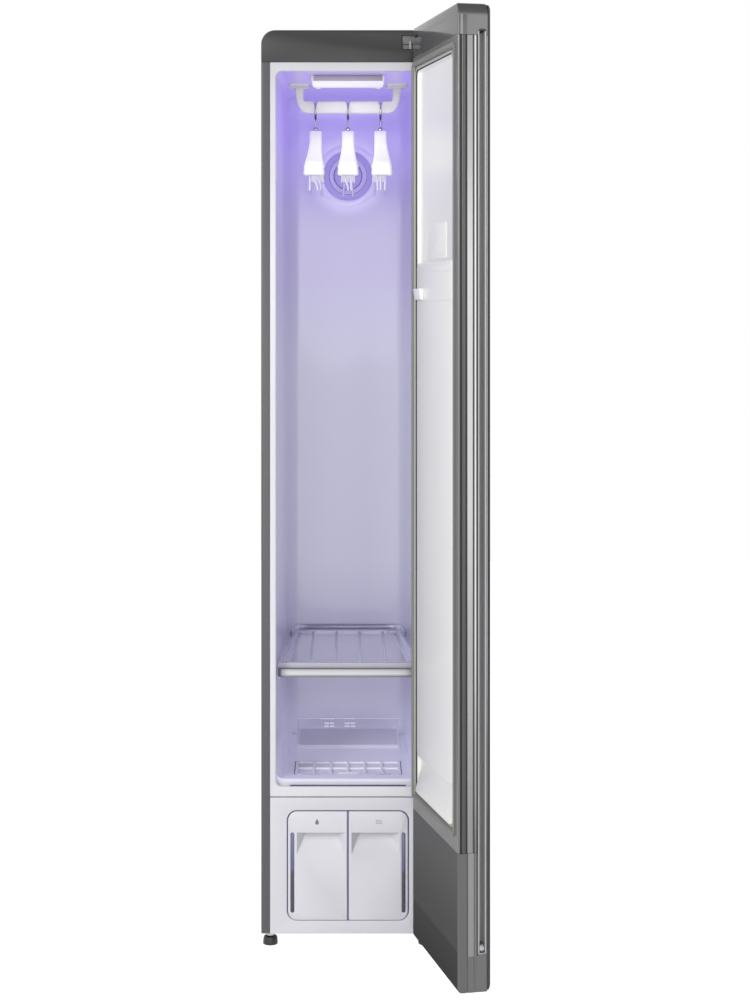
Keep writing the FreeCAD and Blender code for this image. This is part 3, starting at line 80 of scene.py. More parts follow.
SIDES = (-1, 1)
FRONT = low("side_panel_left").y
BACK = high("back_panel").y
BASE = low("side_panel_left").z
TOP = high("top_cover").z
SHOULDER = low("top_cover").z
FLANGE_HALF = 0.157
FRONT_TALL = 0.274
OPEN_HALF = 0.145
DRAW_IN = 0.006
CAVITY_FLOOR = low("floor_tray").z
CEILING = high("lamp_housing").z
REAR_WALL = high("vent_bezel").y
RAIL_Y = joint("crank_turn")["pos_m"][1]
HINGE = Vector(joint("door_swing")["pos_m"])
DOOR_OPEN = -math.radians(joint("door_swing")["range_deg"][0])
DOOR = Matrix.Translation((HINGE.x, HINGE.y, 0)) @ Matrix.Rotation(DOOR_OPEN, 4, "Z")
OFF_DOOR = DOOR.inverted()
VENT = Vector(((low("vent_bezel") + high("vent_bezel")) / 2))
SHAKE = max(abs(reach) for reach in joint("rail_shake")["range_m"])
ARM_SPOT, ARM_HALF = 0.10375, 0.00925
SLOT_HALF = ARM_HALF + SHAKE + 0.0012
SLOT_DEEP = 0.007
HANGERS = {"left": -0.069, "centre": 0.0, "right": 0.069}
HANGER_TOP = high("hanger_centre").z


# ------------------------------------------------------------------ nodes and materials
def rgb(*tone):
    """A screen colour, 0 to 255, or one grey, as the linear colour that a shader takes."""
    def linear(value):
        value /= 255
        return value / 12.92 if value <= 0.04045 else ((value + 0.055) / 1.055) ** 2.4
    red, green, blue = tone if len(tone) == 3 else tone * 3
    return (linear(red), linear(green), linear(blue), 1)


def toned(tone):
    return rgb(*tone) if isinstance(tone, tuple) else rgb(tone)


def dimmer(colour, share):
    return tuple(part * share for part in colour[:3]) + (1,)


def feed(tree, socket, source):
    """Link another node's output to a socket, or set its plain value."""
    if isinstance(source, bpy.types.NodeSocket):
        tree.links.new(source, socket)
    else:
        socket.default_value = source


def add_node(tree, kind, feeds=None, **settings):
    """Add a node with its settings and what feeds its inputs; gives its outputs."""
    node = tree.nodes.new(kind)
    for name, value in settings.items():
        setattr(node, name, value)
    for port, source in (feeds or {}).items():
        feed(tree, node.inputs[port], source)
    return node.outputs


def calculate(tree, operation, a, b):
    """What a math node makes of two values."""
    return add_node(tree, "ShaderNodeMath", {0: a, 1: b}, operation=operation)[0]


class Surface:
    """A node material: base colour with a soft variation, roughness and bump from noise."""

    def __init__(self, name, colour, rough, metal=0.0):
        self.material = bpy.data.materials.new(name)
        self.material.use_nodes = True
        self.tree = self.material.node_tree
        self.shader = self.tree.nodes["Principled BSDF"]
        self.rough = rough
        self.set("Base Color", colour).set("Roughness", rough).set("Metallic", metal)
        self.place = self.add("ShaderNodeTexCoord")["Object"]

    def add(self, kind, feeds=None, **settings):
        return add_node(self.tree, kind, feeds, **settings)

    def set(self, socket, source):
        feed(self.tree, self.shader.inputs[socket], source)
        return self

    def base(self):
        """The present base colour: another node's output, or the plain colour."""
        socket = self.shader.inputs["Base Color"]
        return socket.links[0].from_socket if socket.is_linked else tuple(socket.default_value)

    def noise(self, scale, stretch=(1, 1, 1)):
        mapping = self.add("ShaderNodeMapping", {"Scale": stretch, "Vector": self.place})
        return self.add("ShaderNodeTexNoise", {
            "Scale": scale, "Detail": 3.0, "Vector": mapping["Vector"]})["Fac"]

    def map_range(self, value, start, end, least, most, way="SMOOTHSTEP"):
        return self.add("ShaderNodeMapRange", {
            "Value": value, "From Min": start, "From Max": end, "To Min": least, "To Max": most},
            interpolation_type=way)["Result"]

    def spread(self, value, least, most):
        """Map a noise smoothly onto a range."""
        return self.map_range(value, 0.2, 0.8, least, most)

    def vary_rough(self, scale, amount, stretch=(1, 1, 1)):
        noise = self.noise(scale, stretch)
        return self.set("Roughness", self.spread(noise, self.rough - amount, self.rough + amount))

    def lay_over(self, share, colour):
        """Mix a second colour over what colours the surface so far."""
        mix = self.add("ShaderNodeMix", {"Factor": share, "A": self.base(), "B": colour}, data_type="RGBA")
        return self.set("Base Color", mix["Result"])

    def mottle(self, scale, other, share, stretch=(1, 1, 1)):
        return self.lay_over(self.spread(self.noise(scale, stretch), 0, share), other)

    def bump(self, scale, strength, distance):
        return self.set("Normal", self.add("ShaderNodeBump", {
            "Strength": strength, "Distance": distance, "Height": self.noise(scale)})["Normal"])

    def glow(self, strength):
        """A little light of its own colour, as the lamp's light that goes round in the tub."""
        return self.set("Emission Color", self.base()).set("Emission Strength", strength)

    def coat(self, weight, rough=0.03):
        return self.set("Coat Weight", weight).set("Coat Roughness", rough)

    def halo(self, centre, near, far, colour, share):
        """A paler or darker patch round a point, full at the near distance and gone at the far one."""
        away = self.add("ShaderNodeVectorMath", {0: self.place, 1: centre}, operation="DISTANCE")["Value"]
        return self.lay_over(self.map_range(away, near, far, share, 0), colour)

    def blend_along(self, axis, *stops):
        """Colour by place along an axis: stops are (metres, tone) in rising order."""
        start, end = stops[0][0], stops[-1][0]
        along = self.add("ShaderNodeSeparateXYZ", {"Vector": self.place})[axis]
        span = self.map_range(along, start, end, 0, 1, "LINEAR")
        ramp = self.tree.nodes.new("ShaderNodeValToRGB")
        ramp.color_ramp.interpolation = "EASE"
        elements = ramp.color_ramp.elements
        while len(elements) < len(stops):
            elements.new(0.5)
        for element, (at, tone) in zip(elements, stops):
            element.position = (at - start) / (end - start)
            element.color = toned(tone)
        feed(self.tree, ramp.inputs["Fac"], span)
        return self.set("Base Color", ramp.outputs["Color"])


def moulded(name, colour, rough, glow=0, grain=0):
    """Moulded plastic: faint colour drift, uneven gloss and, where it has one, a fine grain."""
    skin = Surface(name, colour, rough)
    skin.mottle(3, dimmer(colour, 0.96), 0.4)
    skin.vary_rough(8, 0.012)
    if grain:
        skin.bump(grain, 0.02, 0.0001)
    if glow:
        skin.glow(glow)
    return skin


def painted(name, colour, rough):
    """Powder coat on sheet metal: fine unevenness under a slight sheen."""
    skin = Surface(name, colour, rough)
    skin.mottle(3, dimmer(colour, 0.93), 0.35)
    skin.vary_rough(12, 0.02)
    return skin.coat(0.15, 0.25)


def drawn_metal(name, colour, rough, metal=1.0):
    """Extruded or brushed metal whose fine lines run upright."""
    skin = Surface(name, colour, rough, metal)
    skin.mottle(900, dimmer(colour, 0.85), 0.25, LINES_Z)
    skin.vary_rough(700, 0.03, LINES_Z)
    return skin


LINES_Z = (1, 1, 0.01)
LINES_X = (0.01, 1, 1)
# Tones of the white tub by height, all painted light and shade: violet lamplight towards the ceiling, shade
# under the shelf and at the tray lip, paler light near the floor.
VIOLET_PAINTED_LIGHT = (196, 182, 240)
LILAC_PAINTED_LIGHT = (189, 184, 212)
COOL_PAINTED_LIGHT = (198, 197, 213)
SHADE_PAINTED_UNDER_SHELF = (186, 184, 206)
LIGHT_PAINTED_NEAR_FLOOR = (213, 211, 232)
SHADE_PAINTED_AT_TRAY_LIP = (190, 189, 199)
WHITE = rgb(238, 238, 243)

# each finish: material name, tone, roughness and then, moulded: glow, grain; drawn: metallic share
MOULDED = {
    "panel": ("panel_white", (222, 221, 227), 0.3), "tank": ("tank_white", (222, 221, 227), 0.3),
    "door_white": ("door_white", (240, 240, 236), 0.3), "press": ("press_white", (241, 241, 238), 0.32),
    # The lilac tones of the clips, vent and slats are painted violet lamplight on pale plastic; vent_dark is a
    # darker copy of the vent's tone, painted shade.
    "rail": ("rail_white", (216, 216, 203), 0.3, 0.08), "prong": ("clip_lilac", (212, 207, 234), 0.35, 0.04),
    "vent": ("vent_lilac", (206, 196, 244), 0.35, 0.1),
    "vent_dark": ("vent_dark", (178, 163, 226), 0.35, 0.12),
    "floor": ("floor_white", (232, 231, 241), 0.28, 0.05),
    "slats": ("slat_lilac", (206, 205, 224), 0.3, 0.04),
    "shelf_front": ("shelf_front_grey", (184, 182, 192), 0.3), "shade_dark": ("gap_shade", (74, 68, 98), 0.6),
    # The hood's lip and ribs glow near white: painted highlights.
    "shade": ("seam_shade", (118, 112, 160), 0.6), "bright": ("bright_lip", (240, 240, 250), 0.2, 0.25),
    "cap_gloss": ("cap_gloss", (88, 88, 89), 0.1), "gap": ("gap_black", (26, 26, 28), 0.6),
    "black": ("black_plastic", (34, 34, 36), 0.4), "rubber": ("belt_rubber", (28, 28, 28), 0.7),
    "ink": ("icon_grey", (120, 120, 128), 0.5), "lip": ("seal_lip", (176, 176, 168), 0.5, 0, 400.0),
    "gasket": ("gasket_grey", (127, 127, 123), 0.55, 0, 400.0),
    "foam": ("foam_cream", (225, 215, 170), 0.85, 0, 300.0),
}
PAINTED = {
    # wire_dark is a dark band on the hooks' necks: painted dark reflection.
    "case_grey": ("case_grey", (81, 81, 82), 0.38), "wire_dark": ("hook_sleeve", (58, 52, 72), 0.3),
    # foot_trim and foot_plain, like strip_low, are darker copies of the door's trims by its foot: painted shade.
    "lamp_metal": ("lamp_metal", (164, 158, 168), 0.3), "foot_trim": ("foot_trim", 88, 0.4),
    "foot_plain": ("foot_plain", 98, 0.4), "trim": ("door_trim", (112, 113, 111), 0.3),
    "trim_dark": ("door_trim_dark", (62, 62, 63), 0.32), "hinge_grey": ("hinge_grey", (82, 82, 83), 0.35),
    "cap_ridge": ("cap_ridge", (88, 88, 89), 0.35), "cap_light": ("cap_light", (146, 146, 145), 0.35),
    "machine": ("machine_black", (38, 38, 40), 0.35),
}
DRAWN = {
    "wire": ("hook_wire", (176, 175, 186), 0.15, 0.8), "steel": ("zinc_steel", (178, 180, 182), 0.35),
    "strip_low": ("edge_strip_low", 136, 0.45, 0.2), "coil": ("coil_aluminium", 190, 0.35),
}
SKINS = {}


def make_materials():
    for maker, table in ((moulded, MOULDED), (painted, PAINTED), (drawn_metal, DRAWN)):
        for key, (name, tone, *rest) in table.items():
            SKINS[key] = maker(name, toned(tone), *rest)
    SKINS["fascia"] = moulded("fascia_gloss", rgb(53, 53, 54), 0.3).set("Specular IOR Level", 0.3)
    # The shelf's lilac tone is painted violet lamplight.
    SKINS["shelf"] = moulded("shelf_lilac", rgb(206, 205, 226), 0.22).set("Coat Weight", 0.3)
    cavity_materials()
    shelf_materials()
    door_materials()


def cavity_materials():
    tub = Surface("tub_white", WHITE, 0.28)
    # Painted light and shade by height: the white tub turns violet towards the lamp and darker under the shelf.
    tub.blend_along("Z", (0.326, SHADE_PAINTED_AT_TRAY_LIP), (0.332, SHADE_PAINTED_AT_TRAY_LIP), (0.339, LIGHT_PAINTED_NEAR_FLOOR), (0.46, SHADE_PAINTED_UNDER_SHELF), (0.56, SHADE_PAINTED_UNDER_SHELF),
                    (0.75, COOL_PAINTED_LIGHT), (1.15, COOL_PAINTED_LIGHT), (1.42, LILAC_PAINTED_LIGHT), (1.72, VIOLET_PAINTED_LIGHT), (1.79, VIOLET_PAINTED_LIGHT))
    # Painted light: a paler violet pool round the vent.
    tub.halo((0, REAR_WALL, VENT.z), 0.06, 0.1, rgb(226, 220, 250), 0.8)
    SKINS["tub"] = tub.glow(0.17).coat(0.4, 0.08)
    flange = Surface("flange_white", WHITE, 0.32)
    # Darker towards the top of the opening: painted shade.
    flange.blend_along("Z", (0.3, (222, 221, 226)), (1.3, (220, 219, 224)), (1.7, (207, 206, 212)),
                       (1.79, (194, 193, 199)))
    SKINS["flange"] = flange.vary_rough(8, 0.01)
    hanger = moulded("hanger_white", rgb(200, 201, 192), 0.4)
    # The emission is painted light: the lamp's light on the white hangers, which are no lamp.
    hanger.set("Emission Color", rgb(244, 244, 248)).set("Emission Strength", 0.4)
    SKINS["hanger"] = hanger.set("Subsurface Weight", 0.1).set("Subsurface Radius", (0.004, 0.004, 0.005))
    window = Surface("level_window", rgb(78, 78, 112), 0.18)
    window.blend_along("Z", (0.0721, (52, 52, 70)), (0.148, (58, 58, 80)), (0.164, (88, 88, 128)),
                       (0.2339, (96, 96, 134)))
    SKINS["window"] = window.vary_rough(20, 0.02).set("Coat Weight", 0.3)
    lens = Surface("lamp_lens", rgb(204, 204, 206), 0.4).bump(500, 0.05, 0.0002)
    SKINS["lens"] = lens.set("Emission Color", rgb(246, 244, 255)).set("Emission Strength", 0.34)
    clear = Surface("clear_cover", rgb(214, 214, 238), 0.12)
    SKINS["clear"] = clear.vary_rough(12, 0.03).set("Alpha", 0.16)


def shelf_materials():
    # Painted highlights: the back bar's tone is pale at its bent corners and darker between.
    ends = [(0.085, (150, 148, 170)), (0.104, (196, 195, 210)), (0.114, (244, 244, 250)),
            (0.122, (206, 205, 222)), (0.127, (160, 158, 180))]
    back_bar = Surface("shelf_back_bar", rgb(150, 148, 168), 0.28, 0.3)
    back_bar.blend_along("X", *[(-x, tone) for x, tone in ends[::-1]], *ends)
    SKINS["back_bar"] = back_bar.vary_rough(300, 0.03, LINES_X)
    shelf_bar = Surface("shelf_bar", rgb(200, 199, 204), 0.32, 0.3)
    # Painted highlight along the front bar: pale in the middle of its height, darker above and below.
    shelf_bar.blend_along("Z", (0.542, (112, 110, 116)), (0.5455, (150, 149, 154)), (0.549, (198, 198, 200)),
                          (0.555, (180, 179, 183)), (0.5585, (140, 138, 144)), (0.56, (110, 108, 116)))
    # Painted shade: darker patches at the bar's ends by the walls.
    for side in SIDES:
        shelf_bar.halo((side * 0.142, -0.2275, 0.551), 0.003, 0.024, rgb(112, 110, 118), 0.75)
    SKINS["shelf_bar"] = shelf_bar.vary_rough(700, 0.03, LINES_X)


def door_materials():
    strip = Surface("edge_strip", rgb(172), 0.45, 0.2)
    # Painted light and shade: the strip is paler at mid height, darker towards the foot and the top.
    strip.blend_along("Z", (0.29, 134), (0.6, 160), (0.95, 190), (1.35, 194), (1.7, 156), (1.79, 142))
    SKINS["strip"] = strip.vary_rough(700, 0.03, LINES_Z)
    bead = Surface("edge_bead", rgb(206), 0.4, 0.2)
    # Painted shade and highlight: the bead darkens towards the foot, and as the bright bands it paints the lips'
    # highlights.
    bead.blend_along("Z", (0.29, 112), (0.42, 150), (0.7, 206), (1.8, 206))
    SKINS["bright_metal"] = bead.vary_rough(700, 0.03, LINES_Z)
    grip = Surface("grip_metal", rgb(196, 196, 197), 0.4, 0.1)
    # Painted shade and highlight across the grip: darker deep in the channel, pale on its lips.
    grip.blend_along("X", (0.235, 222), (0.240, 192), (0.2455, 172), (0.2525, 146), (0.2537, 206),
                     (0.2552, 206))
    SKINS["grip"] = grip.vary_rough(700, 0.03, LINES_Z)
    ball = Surface("grip_ball", rgb(160), 0.16, 0.5)
    # Painted highlight and shade on the rounded end: pale just above its middle, dark below.
    ball.blend_along("Z", (0.0985, 36), (0.104, 92), (0.1095, 176), (0.1135, 140), (0.119, 96))
    SKINS["grip_ball"] = ball.vary_rough(60, 0.02)
    cap_end = Surface("cap_end", rgb(125, 125, 124), 0.35)
    # Painted shade: the cap's end darkens where it rolls over to the top.
    cap_end.blend_along("Z", (1.79, (118, 118, 117)), (1.826, (118, 118, 117)), (1.834, (60, 60, 61)),
                        (1.85, (48, 48, 49)))
    SKINS["cap_end"] = cap_end.vary_rough(12, 0.03)
    gloss = Surface("door_gloss", rgb(70), 0.3)
    # Painted reflection: the lower inner face darkens towards the foot, with no specular of its own.
    gloss.blend_along("Z", (0.03, 74), (0.10, 80), (0.112, 92), (0.29, 108))
    SKINS["door_gloss"] = gloss.vary_rough(6, 0.02).set("Specular IOR Level", 0.0)
    mirror = Surface("door_mirror", rgb(66, 67, 71), 0.06, 0.9)
    mirror.vary_rough(3, 0.012).bump(3, 0.01, 0.001)
    SKINS["mirror"] = mirror.set("Specular Tint", (0.3, 0.3, 0.32, 1))


# ------------------------------------------------------------------ mesh helpers
def link_object(name, mesh):
    thing = bpy.data.objects.new(name, mesh)
    bpy.context.scene.collection.objects.link(thing)
    return thing


def shade(thing, degrees=35):
    """Smooth shading, with edges sharper than the angle kept sharp."""
    mesh = thing.data
    mesh.polygons.foreach_set("use_smooth", [True] * len(mesh.polygons))
    mesh.set_sharp_from_angle(angle=math.radians(degrees))
    mesh.update()
    return thing


def from_bmesh(name, shape, smooth=None):
    """An object from a bmesh, with normals outward and smooth shading below an angle."""
    bmesh.ops.recalc_face_normals(shape, faces=shape.faces)
    mesh = bpy.data.meshes.new(name)
    shape.to_mesh(mesh)
    shape.free()
    thing = link_object(name, mesh)
    return shade(thing, smooth) if smooth else thing


def settle(thing):
    """Apply the modifiers, leaving a plain mesh."""
    bpy.context.view_layer.update()
    seen = thing.evaluated_get(bpy.context.evaluated_depsgraph_get())
    mesh = bpy.data.meshes.new_from_object(seen)
    old = thing.data
    thing.modifiers.clear()
    thing.data = mesh
    bpy.data.meshes.remove(old)
    return thing


def soften(thing, width, segments=2, degrees=30):
    """Round the sharp edges of a finished mesh a little."""
    bevel = thing.modifiers.new("soft_edges", "BEVEL")
    bevel.width = width
    bevel.segments = segments
    bevel.limit_method = "ANGLE"
    bevel.angle_limit = math.radians(degrees)
    bevel.use_clamp_overlap = True
    bevel.harden_normals = False
    return shade(settle(thing), 40)


def paint(thing, *skins):
    """Give a piece its finishes; faces take the first unless they are told otherwise."""
    thing.data.materials.clear()
    for skin in skins:
        thing.data.materials.append(SKINS[skin].material)
    return thing


def sort_faces(thing, choose):
    """Finish of each face: choose gives the number of the finish, or None to leave it."""
    for face in thing.data.polygons:
        number = choose(face)
        if number is not None:
            face.material_index = number
    return thing


def carry(thing, body, slot, skin, *nodes):
    """Colour a piece, set it riding on its body and hide the nodes that it stands for."""
    if skin:
        paint(thing, skin)
    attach(thing, body)
    if nodes:
        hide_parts(*nodes)
    return thing


def body_of(node):
    return frame["nodes"][node]["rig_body"]


def slot_of(node):
    return [part["material_slot"] for part in frame["record"]["subparts"] if part["node"] == node][0]


def refine(node, width, skin, segments=2):
    """Replace a CAD node by a copy: merged, flat faces joined, edges rounded."""
    shape = bmesh.new()
    shape.from_mesh(frame["nodes"][node].data)
    bmesh.ops.remove_doubles(shape, verts=shape.verts, dist=1e-6)
    bmesh.ops.dissolve_limit(shape, angle_limit=math.radians(1), verts=shape.verts, edges=shape.edges)
    thing = soften(from_bmesh(node + "_fine", shape), width, segments)
    return carry(thing, body_of(node), slot_of(node), skin, node)


def prism(name, outline, start, end, place, smooth=None):
    """A prism: outline points (a, b), swept from start to end, mapped by place(a, b, c)."""
    shape = bmesh.new()
    near, far = [[shape.verts.new(place(a, b, c)) for a, b in outline] for c in (start, end)]
    count = len(outline)
    shape.faces.new(near)
    shape.faces.new(far[::-1])
    for i in range(count):
        j = (i + 1) % count
        shape.faces.new((near[i], far[i], far[j], near[j]))
    return from_bmesh(name, shape, smooth)


def arc(centre, radius, start, end, steps):
    """Points on an arc, angles in degrees."""
    turns = [math.radians(start + (end - start) * i / steps) for i in range(steps + 1)]
    return [(centre[0] + radius * math.cos(turn), centre[1] + radius * math.sin(turn)) for turn in turns]


def circle(radius, centre, height, count, shift=0.0):
    """One ring: points round a circle at a height along the third axis."""
    turns = [2 * math.pi * (i + shift) / count for i in range(count)]
    return [(centre[0] + radius * math.cos(turn), centre[1] + radius * math.sin(turn), height)
            for turn in turns]


def rounded_outline(left, right, bottom, top, radius, steps=6):
    """Corner points of a rounded rectangle, anticlockwise; radius is one number or four."""
    radii = radius if isinstance(radius, (list, tuple)) else [radius] * 4
    a, b, c, d = radii
    return (arc((right - a, bottom + a), a, -90, 0, steps) + arc((right - b, top - b), b, 0, 90, steps)
            + arc((left + c, top - c), c, 90, 180, steps) + arc((left + d, bottom + d), d, 180, 270, steps))


def grown(box, by):
    return (box[0] - by, box[1] + by, box[2] - by, box[3] + by)


def ring(box, radius, height, steps=8):
    """One ring: a rounded rectangle at a height along the third axis."""
    return [(a, b, height) for a, b in rounded_outline(*box, radius, steps)]


def frame_ring(box, radius, grow_by, height, steps=6):
    """One ring: a rounded rectangle grown by an amount together with its corners."""
    return ring(grown(box, grow_by), max(radius + grow_by, 0.0004), height, steps)


def ring_shell(name, rings, place, closed=False, smooth=None):
    """Rings of equal point counts joined to a skin, closed on itself or by a cap at either end."""
    shape = bmesh.new()
    rows = [[shape.verts.new(place(*spot)) for spot in points] for points in rings]
    for first, second in list(zip(rows, rows[1:])) + ([(rows[-1], rows[0])] if closed else []):
        count = len(first)
        for i in range(count):
            j = (i + 1) % count
            shape.faces.new((first[i], first[j], second[j], second[i]))
    if not closed:
        shape.faces.new(rows[0])
        shape.faces.new(rows[-1])
    return from_bmesh(name, shape, smooth)


def swept_frame(name, box, radius, profile, place, steps=6):
    """A closed band whose section (outward, height) runs round a rounded rectangle."""
    rings = [frame_ring(box, radius, out, height, steps) for out, height in profile]
    return ring_shell(name, rings, place, True, 40)


def swept_circle(name, profile, centre, skin, smooth=35):
    """A closed ring about an axis that runs back to front; profile is (radius, y)."""
    rings = [circle(radius, centre, y, 96) for radius, y in profile]
    return paint(ring_shell(name, rings, on_front, True, smooth), skin)


def lathe(name, profile, centre, turns, place, smooth):
    """A closed solid of revolution; profile is (radius, height) from pole to pole."""
    shape = bmesh.new()
    rings = [[shape.verts.new(place(*spot)) for spot in circle(max(radius, 0), centre, height, turns)]
             if radius > 1e-7 else [shape.verts.new(place(*centre, height))] for radius, height in profile]
    for first, second in zip(rings, rings[1:]):
        for i in range(turns):
            j = (i + 1) % turns
            corners = [first[i % len(first)], first[j % len(first)],
                       second[j % len(second)], second[i % len(second)]]
            unique = list(dict.fromkeys(corners))
            if len(unique) > 2:
                shape.faces.new(unique)
    return from_bmesh(name, shape, smooth)


def tube(name, points, radius, skin, sides=4):
    """A round wire along points, as a plain mesh with closed ends."""
    curve = bpy.data.curves.new(name, "CURVE")
    curve.dimensions = "3D"
    curve.bevel_depth = radius
    curve.bevel_resolution = sides
    curve.use_fill_caps = True
    spline = curve.splines.new("POLY")
    spline.points.add(len(points) - 1)
    for spot, point in zip(spline.points, points):
        spot.co = (*point, 1)
    drawn = link_object(name + "_path", curve)
    bpy.context.view_layer.update()
    mesh = bpy.data.meshes.new_from_object(drawn)
    mesh.name = name
    bpy.data.objects.remove(drawn)
    bpy.data.curves.remove(curve)
    return paint(shade(link_object(name, mesh), 50), skin)


def join(name, pieces):
    """Several meshes as one object."""
    shape = bmesh.new()
    materials = []
    for piece in pieces:
        start = len(shape.faces)
        shape.from_mesh(piece.data)
        shape.faces.ensure_lookup_table()
        owned = piece.data.materials
        materials += [material for material in owned if material not in materials]
        for face in shape.faces[start:]:
            if owned:
                face.material_index = materials.index(owned[min(face.material_index, len(owned) - 1)])
    mesh = bpy.data.meshes.new(name)
    shape.to_mesh(mesh)
    shape.free()
    for material in materials:
        mesh.materials.append(material)
    for piece in pieces:
        bpy.data.objects.remove(piece)
    return link_object(name, mesh)


def cut(thing, *cutters):
    """Subtract closed meshes from a closed mesh."""
    for cutter in cutters:
        modifier = thing.modifiers.new("cut", "BOOLEAN")
        modifier.operation = "DIFFERENCE"
        modifier.solver = "EXACT"
        modifier.object = cutter
    settle(thing)
    for cutter in cutters:
        bpy.data.objects.remove(cutter)
    return thing


def block(name, lows, highs, turn=None):
    """A sharp box between two corners, in the cabinet's or the door's frame."""
    shape = bmesh.new()
    made = bmesh.ops.create_cube(shape, size=1)["verts"]
    lows, highs = Vector(lows), Vector(highs)
    middle, size = (lows + highs) / 2, highs - lows
    for vert in made:
        vert.co = Vector([vert.co[i] * size[i] + middle[i] for i in range(3)])
        if turn:
            vert.co = turn @ vert.co
    return from_bmesh(name, shape)


def box_piece(name, lows, highs, edge=0.0006, segments=2, turn=None):
    return soften(block(name, lows, highs, turn), edge, segments)


def slab(name, outline, start, end, place, edge=0.0006, segments=2):
    """A plate of an outline between two heights, with softened edges."""
    return soften(prism(name, outline, start, end, place), edge, segments)


def bore(name, centre, radius, start, end, place):
    return prism(name, arc(centre, radius, 0, 360 - 360 / 64, 63), start, end, place)


def ordered(a, b):
    return (a, b) if a < b else (b, a)


def on_front(a, b, c):
    """Outline in (x, z), third axis y."""
    return Vector((a, c, b))


def on_top(a, b, c):
    """Outline in (x, y), third axis z."""
    return Vector((a, b, c))


def on_side(a, b, c):
    """Outline in (y, z), third axis x."""
    return Vector((c, a, b))


def on_door(a, b, c):
    """Outline in (u, z) on the door, third axis v; the open door's place."""
    return DOOR @ Vector((a, c, b))


def door_plan(a, b, c):
    """Outline in (u, v) on the door, third axis z."""
    return DOOR @ Vector((a, b, c))


def across(a, b, c):
    """Outline in (v, z) on the door, third axis u."""
    return DOOR @ Vector((c, a, b))


# ------------------------------------------------------------------ repeated shapes
def repeated(name, inputs, build):
    """Geometry Nodes: build gives points, a unit shape and its turn; every point gets the shape."""
    tree = bpy.data.node_groups.new(name, "GeometryNodeTree")
    sockets = tree.interface
    keys = {label: sockets.new_socket(name=label, in_out="INPUT", socket_type="NodeSocket" + kind).identifier
            for label, kind, value in inputs}
    sockets.new_socket(name="Geometry", in_out="OUTPUT", socket_type="NodeSocketGeometry")
    entry = add_node(tree, "NodeGroupInput")
    points, unit, turn = build(tree, entry)
    spread = add_node(tree, "GeometryNodeInstanceOnPoints", {
        "Points": points, "Instance": unit, "Rotation": turn, "Scale": entry["Size"]})
    whole = add_node(tree, "GeometryNodeRealizeInstances", {"Geometry": spread["Instances"]})
    finish = add_node(tree, "GeometryNodeSetMaterial", {
        "Geometry": whole["Geometry"], "Material": entry["Finish"]})
    add_node(tree, "NodeGroupOutput", {0: finish["Geometry"]})
    thing = link_object(name, bpy.data.meshes.new(name))
    modifier = thing.modifiers.new("repeated", "NODES")
    modifier.node_group = tree
    for label, kind, value in inputs:
        modifier[keys[label]] = value
    return settle(thing)


def pattern(name, columns, rows, pitch, size, skin, turn=(0, 0, 0), round_shape=False):
    """A grid of small boxes or discs about the origin, as a plain mesh object."""
    def build(tree, entry):
        steps = add_node(tree, "ShaderNodeSeparateXYZ", {0: entry["Pitch"]})
        wide, deep = [calculate(tree, "MULTIPLY", calculate(tree, "SUBTRACT", entry[label], 1), steps[axis])
                      for label, axis in (("Columns", "X"), ("Rows", "Y"))]
        grid = add_node(tree, "GeometryNodeMeshGrid", {
            "Size X": wide, "Size Y": deep, "Vertices X": entry["Columns"], "Vertices Y": entry["Rows"]})
        if round_shape:
            unit = add_node(tree, "GeometryNodeMeshCylinder", {"Vertices": 20, "Radius": 0.5, "Depth": 1})
        else:
            unit = add_node(tree, "GeometryNodeMeshCube")
        return grid["Mesh"], unit["Mesh"], entry["Turn"]

    return repeated(name, (
        ("Columns", "Int", columns), ("Rows", "Int", rows), ("Pitch", "Vector", (*pitch, 0)),
        ("Size", "Vector", size), ("Turn", "Vector", turn),
        ("Finish", "Material", SKINS[skin].material)), build)


def ring_pattern(name, count, radius, size, skin):
    """Small bars set round a circle, each pointing outwards."""
    def build(tree, entry):
        points = add_node(tree, "GeometryNodeMeshCircle", {
            "Vertices": entry["Count"], "Radius": entry["Radius"]})
        index = add_node(tree, "GeometryNodeInputIndex")[0]
        angle = calculate(tree, "MULTIPLY", calculate(tree, "DIVIDE", index, entry["Count"]), 2 * math.pi)
        turn = add_node(tree, "ShaderNodeCombineXYZ", {"Z": angle})[0]
        return points["Mesh"], add_node(tree, "GeometryNodeMeshCube")["Mesh"], turn

    return repeated(name, (
        ("Count", "Int", count), ("Radius", "Float", radius), ("Size", "Vector", size),
        ("Finish", "Material", SKINS[skin].material)), build)


def move(thing, matrix):
    """Put a finished mesh in its place; the object itself stays at the origin."""
    thing.data.transform(matrix)
    thing.data.update()
    return thing


def stand(thing, x, y, z, degrees):
    """Stand a flat pattern on an upright wall: 90 degrees faces the front, -90 the back."""
    return move(thing, Matrix.Translation((x, y, z)) @ Matrix.Rotation(math.radians(degrees), 4, "X"))


# ------------------------------------------------------------------ camera, lights and stage
CAMERA_AWAY, CAMERA_HEIGHT = 3.95, 1.272
FLOOR_SHINE = 0.75


def make_camera():
    """Level camera in front of the cabinet, a little right of its middle axis."""
    lens = bpy.data.cameras.new("camera")
    lens.lens, lens.sensor_width = 70.6, 36
    lens.shift_x, lens.shift_y = 0.027, -0.183
    lens.clip_end = 50
    camera = link_object("camera", lens)
    camera.location = (0, FRONT - CAMERA_AWAY, CAMERA_HEIGHT)
    camera.rotation_euler = (math.pi / 2, 0, 0)
    bpy.context.scene.camera = camera


def area_light(name, place, aim, size, power, colour=(1, 1, 1)):
    lamp = bpy.data.lights.new(name, "AREA")
    lamp.shape = "RECTANGLE"
    lamp.size, lamp.size_y = size
    lamp.energy = power
    lamp.color = colour
    thing = link_object(name, lamp)
    thing.location = place
    thing.rotation_euler = (Vector(aim) - Vector(place)).to_track_quat("-Z", "Y").to_euler()
    return thing


